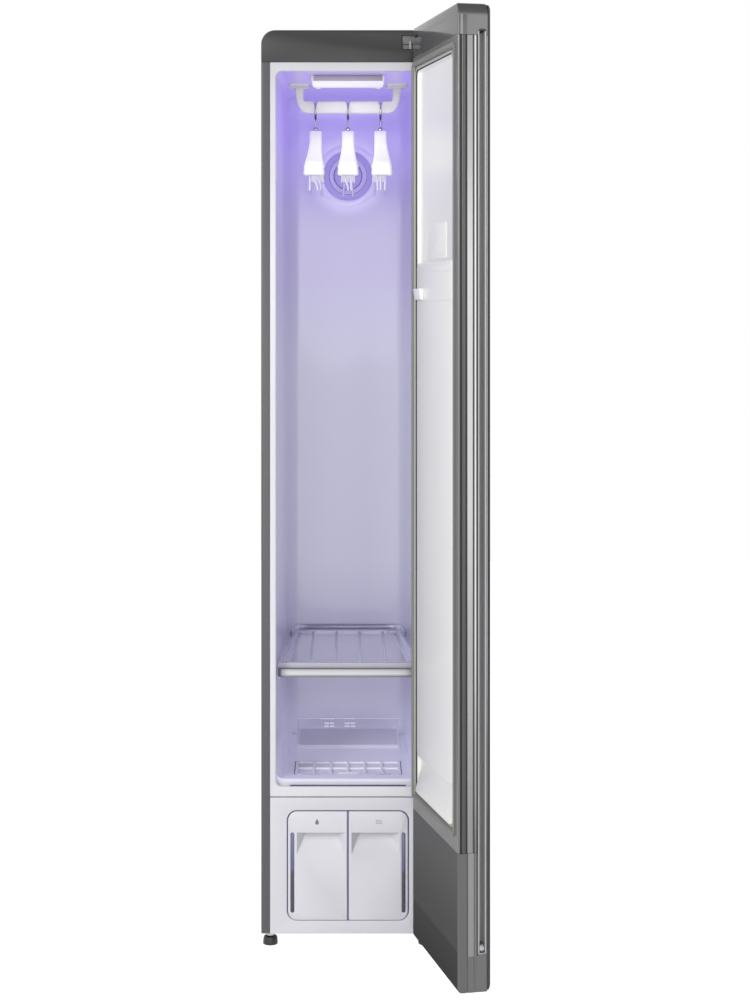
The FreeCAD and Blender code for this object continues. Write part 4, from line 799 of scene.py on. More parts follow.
def make_lights():
    area_light("key_left", (-2.2, -3.4, 2.6), (0, -0.2, 1.0), (1.6, 2.2), 84)
    area_light("fill_right", (2.6, -2.8, 1.6), (0.1, -0.3, 0.9), (1.4, 2.4), 24)
    area_light("front_soft", (0.0, -4.6, 1.3), (0, 0, 1.0), (2.6, 2.6), 32)
    area_light("lamp_glow", (0, low("lamp_lens").y + 0.03, low("lamp_lens").z - 0.004),
               (0, 0.02, 1.2), (0.13, 0.05), 0.09, (0.96, 0.93, 1.0))
    top_fill = area_light("top_fill", (0.05, -1.5, 1.35), (0, 0.1, 1.62), (0.4, 0.4), 0.08, (0.95, 0.94, 1.0))
    top_fill.data.spread = math.radians(34)
    top_fill.visible_camera = False
    world = bpy.data.worlds.new("studio")
    bpy.context.scene.world = world
    world.use_nodes = True
    tree = world.node_tree
    dim = tree.nodes["Background"]
    feed(tree, dim.inputs["Color"], (0.93, 0.94, 0.96, 1))
    feed(tree, dim.inputs["Strength"], 0.42)
    white = add_node(tree, "ShaderNodeBackground", {"Color": (1, 1, 1, 1), "Strength": 1})
    mix = add_node(tree, "ShaderNodeMixShader", {
        "Fac": seen_rays(tree), 1: dim.outputs["Background"], 2: white["Background"]})
    feed(tree, tree.nodes["World Output"].inputs["Surface"], mix["Shader"])
    bpy.context.scene.view_settings.view_transform = "Standard"


def seen_rays(tree):
    """1 for a ray from the camera, a reflection or a clear piece, else 0."""
    rays = add_node(tree, "ShaderNodeLightPath")
    total = rays["Is Camera Ray"]
    for kind in ("Is Glossy Ray", "Is Transmission Ray"):
        total = calculate(tree, "MAXIMUM", total, rays[kind])
    return total


def make_floor():
    """Pale studio floor that shows white to the camera and keeps the object's shadow."""
    shape = bmesh.new()
    shape.faces.new([shape.verts.new((x, y, 0)) for x, y in ((-6, -5), (6, -5), (6, 6), (-6, 6))])
    floor = from_bmesh("studio_floor", shape)
    material = bpy.data.materials.new("studio_floor")
    material.use_nodes = True
    tree = material.node_tree
    shine = calculate(tree, "MULTIPLY", seen_rays(tree), FLOOR_SHINE)
    sockets = tree.nodes["Principled BSDF"].inputs
    for port, source in (("Base Color", rgb(235, 235, 236)), ("Roughness", 0.7),
                         ("Emission Color", (1, 1, 1, 1)), ("Emission Strength", shine)):
        feed(tree, sockets[port], source)
    floor.data.materials.append(material)


# ------------------------------------------------------------------ CAD nodes that stay as they are
KEPT = {
    "back_panel": "case_grey", "base_pan": "steel", "foam_walls": "foam", "foam_top": "foam",
    "foam_floor": "foam", "tank_bay": "tank", "rail_carriage": "steel", "guide_rods": "steel",
    "drive_frame": "steel", "crank_pulley": "steel", "motor_pulley": "steel", "drive_motor": "black",
    "drive_belt": "rubber", "fan_motor": "black", "fan_rotor": "black", "compressor": "machine",
    "heat_exchanger": "coil", "steam_generator": "coil", "pumps": "machine", "control_box": "black",
}


def finish_kept():
    for node, skin in KEPT.items():
        sort_faces(paint(frame["nodes"][node], skin), lambda face: 0)


# ------------------------------------------------------------------ cabinet body
def cabinet_body():
    for side in ("left", "right"):
        refine("side_panel_" + side, 0.0006, "case_grey")
    refine("top_cover", 0.0016, "fascia", 3)
    tub()
    lower_front()
    refine("upper_hinge", 0.0006, "hinge_grey")
    pin = lathe("hinge_stop_pin", [(0, 1.8118), (0.0024, 1.8118), (0.0031, 1.8125), (0.0031, 1.8280),
                                   (0.0024, 1.8287), (0, 1.8287)], (0.1262, FRONT + 0.0034), 24, on_top, 40)
    carry(pin, "cabinet", "steel", "cap_light")
    cover = box_piece("hinge_slot_cover", (0.1088, FRONT + 0.0046, 1.8122), (0.1462, FRONT + 0.0070, 1.8214),
                      0.0004)
    carry(cover, "cabinet", "door_grey", "hinge_grey")
    refine("lower_hinge", 0.0006, "steel")
    rear_details()


def rear_details():
    """Pressed stiffening frames and two columns of screws on the back."""
    bead = [(0, BACK - 0.0012), (0.003, BACK - 0.0004), (0.007, BACK - 0.0004), (0.01, BACK - 0.0012)]
    ribs = [swept_frame(f"back_bead_{i}", (-0.13, 0.13, z, z + 0.38), 0.02, bead, on_front)
            for i, z in enumerate((0.36, 0.80, 1.24))]
    carry(join("back_beads", ribs), "cabinet", "case_grey", "case_grey")
    heads = [stand(pattern("screw_column", 1, 9, (0.01, 0.215), (0.007, 0.007, 0.0012), "steel",
                           round_shape=True), x, BACK - 0.0007, 0.94, -90) for x in (-0.166, 0.166)]
    carry(join("back_screws", heads), "cabinet", "steel", None)


# ------------------------------------------------------------------ the tub
def cavity_half(y):
    """Half width of the cavity, which draws in a little towards the back."""
    return OPEN_HALF - DRAW_IN * (y - FRONT) / (REAR_WALL - FRONT)


def tub():
    """One smooth moulded tub: front flange, straight walls that draw in, coved rear corners."""
    wall, cove = 0.0025, 0.03
    outer = (-FLANGE_HALF, FLANGE_HALF, CAVITY_FLOOR - 0.02, SHOULDER)

    def inner(y, inset=0.0):
        half = cavity_half(y) - inset
        return (-half, half, CAVITY_FLOOR + inset, CEILING - inset)

    back_box = inner(REAR_WALL, -wall)
    rings = [ring(grown(back_box, -0.01), 0.03, REAR_WALL + wall), ring(back_box, 0.032, REAR_WALL - 0.02)]
    rings += [ring(inner(FRONT + y, -wall), 0.0145, FRONT + y) for y in (0.014, wall)]
    rings += [ring(outer, 0.0012, FRONT + wall), ring(outer, 0.0012, FRONT + 0.0006),
              ring(grown(outer, -0.0006), 0.001, FRONT)]
    rings += [ring(inner(FRONT, -out), radius, FRONT + y) for out, radius, y in (
        (0.0022, 0.0142, 0), (0.0012, 0.0132, 0.0003), (0.0003, 0.0123, 0.0012))]
    rings += [ring(inner(y), radius, y) for y, radius in (
        (FRONT + 0.0024, 0.012), (FRONT + 0.03, 0.014), (FRONT + 0.2, 0.017),
        (REAR_WALL - cove - 0.06, 0.02), (REAR_WALL - cove, 0.024))]
    for turn in range(15, 91, 15):
        angle = math.radians(turn)
        y = REAR_WALL - cove + cove * math.sin(angle)
        rings.append(ring(inner(y, cove * (1 - math.cos(angle))), 0.024 + 0.022 * turn / 90, y))
    shell = ring_shell("cavity_tub", rings, on_front)
    cutters = [bore("vent_cut", (0, VENT.z), 0.043, REAR_WALL - 0.02, REAR_WALL + 0.02, on_front)]
    for side in SIDES:
        cutters.append(block("arm_cut", (side * ARM_SPOT - SLOT_HALF, RAIL_Y - SLOT_DEEP, CEILING - 0.02),
                             (side * ARM_SPOT + SLOT_HALF, RAIL_Y + SLOT_DEEP, CEILING + 0.02)))
    paint(shade(cut(shell, *cutters)), "tub", "flange")
    sort_faces(shell, lambda face: int(face.center.y < FRONT + 0.003))
    carry(shell, "cabinet", "liner_white", None, "inner_liner")
    profile = [(0.0572, 0.0), (0.0572, 0.0012), (0.06, 0.0022), (0.064, 0.002), (0.072, 0.0)]
    surround = swept_circle("vent_surround", [(radius, REAR_WALL + 0.0002 - rise)
                                              for radius, rise in profile], (0, VENT.z), "tub", 50)
    carry(surround, "cabinet", "liner_white", None)


# ------------------------------------------------------------------ lower front and tanks
BAY = 0.123
BAY_LOW = low("tank_bay").z + 0.002
BAY_HIGH = high("tank_bay").z - 0.002
BAY_BOX = (-BAY, BAY, BAY_LOW, BAY_HIGH)
TANK_BACK = high("supply_tank").y
SCOOP_TOP, SCOOP_TALL, SCOOP_DRAFT = 0.2335, 0.0454, 0.016
TANK_GAP = 0.0005


def lower_front():
    """White front under the cavity: folded plate round the tank opening, and its hinge slot."""
    wide = (-FLANGE_HALF, FLANGE_HALF, BASE, BASE + FRONT_TALL)
    rings = [ring(grown(box, out), radius, FRONT + y) for box, out, radius, y in (
        (wide, 0, 0.001, 0.013), (wide, 0, 0.001, 0.0008), (wide, -0.0008, 0.0006, 0),
        (BAY_BOX, 0.002, 0.022, 0), (BAY_BOX, 0.0008, 0.0208, 0.0004), (BAY_BOX, 0.0001, 0.0201, 0.0014),
        (BAY_BOX, 0, 0.02, 0.012), (BAY_BOX, 0.0015, 0.0215, 0.012), (BAY_BOX, 0.0015, 0.0215, 0.003),
        (wide, -0.0025, 0.001, 0.003), (wide, -0.0025, 0.001, 0.013))]
    plate = ring_shell("lower_front", rings, on_front, True)
    cut(plate, block("hinge_cut", (0.131, FRONT - 0.001, 0.04), (0.147, FRONT + 0.005, 0.049)))
    carry(shade(plate), "cabinet", "panel_white", "panel", "lower_front_panel")


def tanks():
    # Dark strips in the split and round the tanks: painted shade in the gaps.
    split = box_piece("tank_split", (-0.0011, FRONT + 0.0012, BAY_LOW + 0.001),
                      (0.0011, FRONT + 0.003, BAY_HIGH - 0.001), 0.0002)
    carry(split, "cabinet", "panel_white", "shade")
    outline = swept_frame("tank_outline", BAY_BOX, 0.02, [
        (-0.0011, FRONT + 0.004), (-0.0001, FRONT + 0.004), (-0.0001, FRONT + 0.009),
        (-0.0011, FRONT + 0.009)], on_front, 8)
    carry(outline, "cabinet", "panel_white", "shade")
    for name, side in (("supply", -1), ("drain", 1)):
        tank(name, side)
        near, far = ordered(side * 0.1081, side * 0.1159)
        window = slab(name + "_window", rounded_outline(near, far, 0.0721, 0.2339, 0.0038, 8),
                      FRONT + 0.0004, FRONT + 0.003, on_front, 0.0005)
        carry(window, name, "window_smoke", "window", name + "_tank_window")
    tank_icons()


def scoop_cutter(side):
    """Finger scoop: a flat top and three drafted sides that narrow inwards."""
    near, far = ordered(side * 0.007, side * 0.103)
    top, mouth = SCOOP_TOP, SCOOP_DRAFT / 26
    shape = bmesh.new()
    loops = [[shape.verts.new((x, FRONT + y, z)) for x, z in ((a, low_z), (b, low_z), (b, top), (a, top))]
             for a, b, y, low_z in ((near - mouth, far + mouth, -0.001, top - SCOOP_TALL),
                                    (near + SCOOP_DRAFT, far - SCOOP_DRAFT, 0.0255, top - 0.008))]
    face, deep = loops
    shape.faces.new(face)
    shape.faces.new(deep[::-1])
    for i in range(4):
        shape.faces.new((face[i], deep[i], deep[(i + 1) % 4], face[(i + 1) % 4]))
    return from_bmesh("scoop_cut", shape)


def tank(name, side):
    """Hollow tank: rounded outer corners, drafted finger scoop, window seat and filling mouth."""
    lows, highs = low(name + "_tank"), high(name + "_tank")
    box = (lows.x, highs.x, lows.z, highs.z)
    radii = [0.002] * 4
    for corner in ((0, 1) if side > 0 else (2, 3)):
        radii[corner] = 0.0185
    rings = [ring(grown(box, -inset - TANK_GAP), [max(radius - inset, 0.0006) for radius in radii], y, 7)
             for inset, y in ((0.0016, FRONT), (0.0008, FRONT + 0.0003), (0.0002, FRONT + 0.001),
                              (0, FRONT + 0.002), (0, TANK_BACK - 0.003), (0.0009, TANK_BACK - 0.0009),
                              (0.003, TANK_BACK))]
    body = ring_shell(name + "_tank_body", rings, on_front)
    near, far = ordered(side * 0.0036, side * 0.1189)
    hollow = prism("hollow_cut", rounded_outline(near, far, lows.z + 0.0025, highs.z - 0.0025, 0.008, 4),
                   -0.224, TANK_BACK - 0.0025, on_front)
    near, far = ordered(side * 0.027, side * 0.0955)
    mouth = block("mouth_cut", (near, -0.2045, highs.z - 0.006), (far, -0.1145, highs.z + 0.002))
    near, far = ordered(side * 0.108, side * 0.116)
    seat = prism("seat_cut", rounded_outline(near, far, 0.072, 0.234, 0.0039, 8),
                 FRONT - 0.001, FRONT + 0.0031, on_front)
    soften(cut(body, hollow, mouth, scoop_cutter(side), seat), 0.0007, 2, 40)
    carry(body, name, "tank_white", "tank", name + "_tank")


def mark(name, outline):
    return slab(name, outline, FRONT - 0.0002, FRONT + 0.0004, on_front, 0.0001, 1)


def tank_icons():
    """Generic marks: a drop on the fresh tank, two waves on the waste tank."""
    drop = [(0.0, 0.0068)] + arc((0, -0.0012), 0.0038, 25, -205, 16)
    carry(mark("drop_mark", [(a - 0.0624, b + 0.2545) for a, b in drop]), "supply", "window_smoke", "ink")
    waves = []
    for level in (0.2525, 0.2572):
        line = [(0.0556 + 0.0008 * i, level + 0.0011 * math.sin(i * math.pi / 4)) for i in range(17)]
        waves.append(mark("wave_mark", [(x, z - 0.0006) for x, z in line]
                          + [(x, z + 0.0006) for x, z in line[::-1]]))
    carry(join("wave_marks", waves), "drain", "window_smoke", "ink")


# ------------------------------------------------------------------ lamp, rail and hangers
def lamp():
    lows, highs = low("lamp_housing"), high("lamp_housing")
    base = box_piece("lamp_base", (lows.x + 0.005, lows.y, lows.z), (highs.x - 0.005, highs.y, highs.z),
                     0.002, 3)
    carry(base, "cabinet", "lamp_metal", "lamp_metal", "lamp_housing")
    caps = []
    for side in SIDES:
        near, far = ordered(side * highs.x, side * (highs.x - 0.0055))
        caps.append(box_piece("cap", (near, lows.y - 0.0004, lows.z - 0.001),
                              (far, highs.y + 0.0004, highs.z), 0.0016, 3))
    carry(join("lamp_end_caps", caps), "cabinet", "diffuser", "rail")
    lows, highs = low("lamp_lens"), high("lamp_lens")
    rings = []
    for y, drop in ((lows.y, 0.004), (lows.y + 0.0012, 0.0015), (lows.y + 0.004, 0.0002),
                    (lows.y + 0.012, 0.0), (lows.y + 0.022, 0.0018), (lows.y + 0.034, 0.0050),
                    (lows.y + 0.046, 0.0085), (highs.y, 0.0118)):
        under = min(0.0075, (0.0125 - drop) / 2)
        rings.append(ring((lows.x, highs.x, lows.z + drop, highs.z), [under, 0.0004, 0.0004, under], y, 6))
    lens = ring_shell("lamp_lens_fine", rings, on_front, smooth=40)
    carry(lens, "cabinet", "diffuser", "lens", "lamp_lens")
    clips = [box_piece("clip", (x - 0.0045, lows.y + 0.014, lows.z - 0.0018),
                       (x + 0.0045, lows.y + 0.020, lows.z + 0.003)) for x in (-0.061, 0.061)]
    carry(join("lens_clips", clips), "cabinet", "diffuser", "rail")


def rail():
    """White U rail: arms that taper into rounded corners, a deep bar and three seats for the hooks."""
    lows, highs = low("hanger_rail"), high("hanger_rail")
    bottom = lows.z
    bar = bottom + 0.026
    outer = [(0.113, highs.z), (0.113, 1.757), (0.1124, 1.747), (0.1108, 1.7365), (0.1082, 1.7265),
             (0.1048, 1.7180), (0.1000, 1.7110), (0.0935, 1.7065), (0.0860, bottom + 0.0002),
             (0.0790, bottom)]
    inner = [(0.0945, highs.z), (0.0945, 1.757), (0.0945, 1.748), (0.0945, 1.7410), (0.0944, 1.7360),
             (0.0938, bar + 0.0020), (0.0925, bar + 0.0007), (0.0900, bar), (0.0850, bar), (0.0790, bar)]
    path = list(zip(outer, inner))
    path += [((-a, b), (-c, d)) for (a, b), (c, d) in path[::-1]]
    rings = []
    for (a, b), (c, d) in path:
        length = math.hypot(c - a, d - b)
        rings.append([(a + (c - a) * share / length, b + (d - b) * share / length, y)
                      for share, y in rounded_outline(0, length, lows.y, highs.y, 0.0032, 4)])
    rail_piece = ring_shell("rail_fine", rings, on_front)
    seats = [prism("seat_cut", [(x - 0.0034, bar - 0.0078), (x + 0.0034, bar - 0.0078),
                                (x + 0.0066, bar + 0.002), (x - 0.0066, bar + 0.002)],
                   lows.y - 0.001, highs.y + 0.001, on_front) for x in HANGERS.values()]
    carry(shade(cut(rail_piece, *seats), 40), "rail", "rail_white", "rail", "hanger_rail")
    section = [(0.0002, 0), (0.0002, -0.0072), (0.001, -0.0082), (0.0052, -0.0080), (0.0062, -0.0070),
               (0.0040, -0.0052), (0.0040, -0.001), (0.0046, 0)]
    covers = [swept_frame("slot_cover", (side * ARM_SPOT - SLOT_HALF, side * ARM_SPOT + SLOT_HALF,
                                         RAIL_Y - SLOT_DEEP, RAIL_Y + SLOT_DEEP), 0.001,
                          [(out, CEILING + drop) for out, drop in section], on_top) for side in SIDES]
    carry(join("slot_covers", covers), "cabinet", "rail_white", "rail", "rail_slot_covers")


def hook(name, x):
    """Bent wire: stem, cranked neck and the half turn over the rail, with a collar at its foot."""
    bend = 0.016
    level = joint("centre_hanger_swing")["pos_m"][2] + 0.002 - bend
    points = [(RAIL_Y, HANGER_TOP - 0.008), (RAIL_Y, level - 0.0235), (RAIL_Y - 0.001, level - 0.0215),
              (RAIL_Y - bend + 0.001, level - 0.0095), (RAIL_Y - bend, level - 0.007)]
    points += [(RAIL_Y + a, level + b) for a, b in arc((0, 0), bend, 180, 0, 24)]
    points.append((RAIL_Y + bend, level - 0.002))
    wire = tube("hook_wire_" + name, [(x, y, z) for y, z in points], 0.0019, "wire")
    profile = [(0, -0.001), (0.0052, -0.001), (0.0052, 0.0015), (0.0038, 0.0032), (0.0026, 0.0052),
               (0, 0.0055)]
    collar = lathe("collar", [(radius, HANGER_TOP + rise) for radius, rise in profile], (x, RAIL_Y), 24,
                   on_top, 40)
    crank = [(RAIL_Y - bend + 0.0006, level - 0.0085), (RAIL_Y - bend + 0.001, level - 0.0095),
             (RAIL_Y - 0.005, level - 0.0181)]
    # A dark band on the hook's cranked neck: painted dark reflection on the wire.
    sleeve = tube("sleeve", [(x, y, z) for y, z in crank], 0.0023, "wire_dark")
    carry(join("hook_fine_" + name, [wire, paint(collar, "wire"), sleeve]), name + "_hanger", "chrome", None,
          "hook_" + name)


FRONT_PRONGS = {"left": ((-0.0086, -0.0090), (-0.0034, 0.0072), (0.0080, 0.0135)),
                "centre": ((-0.0072, 0.0002), (0.0060, 0.0068)),
                "right": ((-0.0098, -0.0084), (-0.0024, -0.0022), (0.0068, 0.0066))}
REAR_PRONGS = ((-0.0080, -0.0105), (0.0080, 0.0105))
REACH, HALF_RINGS = 0.189, 28


def hanger_ring(x, top, turn):
    """One section of a hanger; turn goes from -90 degrees at its front end to 90 at the rear."""
    along = abs(math.sin(turn))
    rear = turn > 0
    crest = top - (0.070 if rear else 0.080) * along ** 1.1
    ease = min(along / 0.8, 1)
    bottom = top - 0.05 - (0.047 if rear else 0.056) * ease * ease * (3 - 2 * ease)
    half = 0.0129 + (0.0037 if rear else 0.0098) * along ** 2.3
    if along > 0.95:
        half *= math.sqrt(max(1 - ((along - 0.95) / 0.05) ** 2 * 0.4, 0))
    radius = min(half * 0.32, (crest - bottom) * 0.35)
    section = []
    for a, b in rounded_outline(-half, half, bottom, crest, [0.0016, radius, radius, 0.0016], 5):
        share = (crest - b) / (crest - bottom)
        waist = 0.84 + 0.16 * share if along > 0.3 else 1 - 0.16 * along / 0.3 * (1 - share)
        section.append((x + a * waist, b, RAIL_Y + REACH * math.sin(turn)))
    return section


def hanger(name, x):
    """Moulded hanger seen along its shoulders: narrow neck, arched and widening arms, clip prongs."""
    top = HANGER_TOP - 0.003
    rings = [hanger_ring(x, top, i / HALF_RINGS * math.pi / 2) for i in range(-HALF_RINGS, HALF_RINGS + 1)]
    pieces = [paint(ring_shell("arms", rings, on_front, smooth=40), "hanger")]
    for end, low_z, prongs in ((-1, top - 0.1035, FRONT_PRONGS[name]), (1, top - 0.0945, REAR_PRONGS)):
        for start, tip in prongs:
            y = RAIL_Y + end * (0.170 if abs(start) > 0.005 else 0.176)
            pieces.append(tube("prong", [
                (x + start, y, low_z + 0.006), (x + start, y, low_z - 0.002),
                (x + start * 0.6 + tip * 0.4, y - end * 0.002, low_z - 0.014),
                (x + tip, y - end * 0.003, low_z - 0.027),
                (x + tip, y - end * 0.002, low_z - 0.034)], 0.0023, "prong"))
        jaw = box_piece("clip_jaw", (x - 0.0125, RAIL_Y + end * 0.171 - 0.003, low_z - 0.004),
                        (x + 0.0125, RAIL_Y + end * 0.171 + 0.003, low_z + 0.002), 0.0012, 3)
        pieces.append(paint(jaw, "prong"))
    pieces += [tube("nub", [(x + side * 0.0165, RAIL_Y - 0.150, top - 0.088),
                            (x + side * 0.0212, RAIL_Y - 0.150, top - 0.0866)], 0.0022, "hanger")
               for side in SIDES]
    carry(join("hanger_fine_" + name, pieces), name + "_hanger", "hanger_white", None, "hanger_" + name)


# ------------------------------------------------------------------ round vent
def vent():
    y = REAR_WALL
    centre = (0, VENT.z)
    rim = swept_circle("vent_rim", [
        (0.056, y), (0.056, y - 0.0022), (0.0552, y - 0.003), (0.0533, y - 0.003), (0.0524, y - 0.0012),
        (0.043, y - 0.0012), (0.0424, y - 0.0012), (0.0424, y)], centre, "vent_dark")
    light = swept_circle("vent_light", [
        (0.0418, y - 0.0002), (0.0418, y - 0.004), (0.041, y - 0.005), (0.0372, y - 0.005),
        (0.0364, y - 0.0036), (0.0330, y - 0.0030), (0.0322, y - 0.0002)], centre, "vent")
    middle = lathe("vent_cap", [(0, y - 0.0006), (0.0308, y - 0.0006), (0.0308, y - 0.0030),
                                (0.0300, y - 0.0040), (0.0150, y - 0.0048), (0, y - 0.0050)],
                   centre, 96, on_front, 35)
    # A dark ring in the gap round the cap: painted shade.
    gap = swept_circle("vent_gap", [(0.0332, y - 0.0002), (0.0332, y - 0.0012), (0.0304, y - 0.0012),
                                    (0.0304, y - 0.0002)], centre, "shade")
    bars = stand(ring_pattern("vent_bars", 36, 0.0391, (0.0030, 0.0014, 0.0012), "prong"),
                 0, y - 0.0050, VENT.z, 90)
    spokes = [box_piece("spoke", (-0.003, y - 0.0028, 0.0325), (0.003, y - 0.0004, 0.0365), 0.0004, 2,
                        Matrix.Translation((0, 0, VENT.z)) @ Matrix.Rotation(math.radians(turn), 4, "Y"))
              for turn in (0, 120, 240)]
    carry(join("vent_fine", [rim, light, paint(middle, "vent_dark"), gap, bars]
               + [paint(item, "vent") for item in spokes]), "cabinet", "vent_grey", None, "vent_bezel")


# ------------------------------------------------------------------ shelf
def tapered(near, far, start, end, radius, inset, height, steps=6):
    """One ring of the shelf's plan: a trapezium, wide in front, with two rounded rear corners."""
    slope = (near - far) / (end - start)
    start, end = start + inset, end - inset
    wide = near - inset - slope * inset
    narrow = far - inset + slope * inset
    r = max(radius - inset, 0.0008)
    right = arc((narrow - r, end - r), r, 0, 90, steps)
    left = [(-a, b) for a, b in right[::-1]]
    return [(wide, start, height)] + [(a, b, height) for a, b in right + left] + [(-wide, start, height)]


def shelf():
    """Shelf with a raised rim, a dished inside, four slats and a bar along its front whose highlight is painted.
    """
    lows, highs = low("shelf_frame"), high("shelf_frame")
    z = highs.z
    rings = [tapered(highs.x, highs.x - 0.024, lows.y, highs.y, 0.016, inset, height) for inset, height in (
        (0.0, lows.z + 0.001), (0.0, z - 0.002), (0.0006, z - 0.0006), (0.002, z), (0.0095, z),
        (0.0112, z - 0.001), (0.0122, z - 0.0035), (0.0128, lows.z + 0.0005), (0.0118, lows.z),
        (0.001, lows.z))]
    rim = paint(ring_shell("shelf_rim", rings, on_top, True, 40), "shelf", "shelf_front")
    pieces = [sort_faces(rim, lambda face: int(face.center.y < lows.y + 0.014))]
    for x in (-0.0771, -0.0257, 0.0257, 0.0771):
        section = rounded_outline(x - 0.0028, x + 0.0028, lows.z + 0.0005, z - 0.0035,
                                  [0.0008, 0.0022, 0.0022, 0.0008], 5)
        pieces.append(paint(slab("slat", section, lows.y + 0.009, highs.y - 0.009, on_front, 0.0002, 1),
                            "shelf"))
    for side in SIDES:
        near, far = ordered(side * 0.088, side * 0.112)
        pieces.append(paint(box_piece("corner_pad", (near, highs.y - 0.026, z - 0.006),
                                      (far, highs.y - 0.006, z - 0.0008), 0.0022, 4), "shelf"))
    half = [(0.104, highs.y - 0.0052, z + 0.0042), (0.1165, highs.y - 0.0125, z + 0.0034),
            (0.1215, highs.y - 0.026, z + 0.0018), (0.1255, highs.y - 0.060, z - 0.001)]
    bar = tube("shelf_back_bar", [(-a, b, c) for a, b, c in half[::-1]] + half, 0.0045, "back_bar", 5)
    for vert in bar.data.vertices:
        vert.co.z = z + 0.0018 + (vert.co.z - z - 0.0018) * 1.35
    carry(join("shelf_fine", pieces + [bar]), "shelf", "shelf_grey", None, "shelf_frame")
    lows, highs = low("shelf_trim"), high("shelf_trim")
    corner = 0.009
    outline = [(-highs.x, highs.y)] + arc((-highs.x + corner, lows.y + corner), corner, 180, 270, 8)
    outline += arc((highs.x - corner, lows.y + corner), corner, 270, 360, 8) + [(highs.x, highs.y)]
    bar = soften(prism("shelf_bar", outline[::-1], lows.z, highs.z, on_top), 0.0042, 5, 50)
    carry(bar, "shelf", "chrome", "shelf_bar", "shelf_trim")
    refine("shelf_supports", 0.0014, "tub")


# ------------------------------------------------------------------ cavity floor
FLOOR_TOP = high("floor_tray").z
FILTER = (low("lint_filter"), high("lint_filter"))
LOUVRE = (low("floor_vent"), high("floor_vent"))


def cavity_floor():
    tray()
    floor_coves()
    filter_screen()
    louvre()
    hood()


def tray():
    lows, highs = low("floor_tray"), high("floor_tray")
    z = highs.z
    rings = [tapered(highs.x, highs.x - 0.006, lows.y, highs.y, 0.004, inset, height) for inset, height in (
        (0.0, lows.z), (0.0, z - 0.0055), (0.0006, z - 0.0028), (0.0022, z - 0.0008), (0.005, z))]
    body = ring_shell("floor_tray_fine", rings, on_top)
    under = z - 0.003
    cutters = [block("under_cut", (-highs.x + 0.0105, lows.y + 0.004, lows.z - 0.001),
                     (highs.x - 0.0105, highs.y - 0.004, under))]
    for name, (a, b), out in (("filter_cut", FILTER, 0.0006), ("louvre_cut", LOUVRE, -0.006)):
        cutters.append(block(name, (a.x - out, a.y - out, under - 0.002), (b.x + out, b.y + out, z + 0.002)))
    carry(shade(cut(body, *cutters)), "cabinet", "liner_white", "tub", "floor_tray")


def floor_coves():
    """Concave fillets from the floor up to the tub's sides, and a dark strip along the front that paints the
    gap's shadow.
    """
    lows, highs = low("floor_tray"), high("floor_tray")
    z, r = highs.z, 0.013
    pieces = []
    for side in SIDES:
        rings = []
        for y in (lows.y + 0.001, 0.0, highs.y + 0.012):
            wall = cavity_half(y) - 0.0003
            section = [(wall, lows.z + 0.0115), (wall, z + r)]
            section += [(wall - r + r * math.cos(turn), z + r - r * math.sin(turn))
                        for turn in [math.radians(step) for step in range(10, 90, 10)]]
            section += [(wall - r, z + 0.0001)] + [(wall - a, lows.z + b) for a, b in (
                (r, 0.0004), (0.0115, 0.0004), (0.0075, 0.0016), (0.0035, 0.0045), (0.0012, 0.008))]
            rings.append([(side * a, b, y) for a, b in section])
        pieces.append(ring_shell("floor_cove", rings, on_front, smooth=40))
    carry(join("floor_coves", pieces), "cabinet", "liner_white", "tub")
    # Painted shadow: a dark strip under the tray's front edge.
    line = box_piece("floor_gap", (-0.117, FRONT + 0.004, CAVITY_FLOOR - 0.0002),
                     (0.117, FRONT + 0.0105, CAVITY_FLOOR + 0.0014), 0.0003)
    carry(line, "cabinet", "liner_white", "shade_dark")


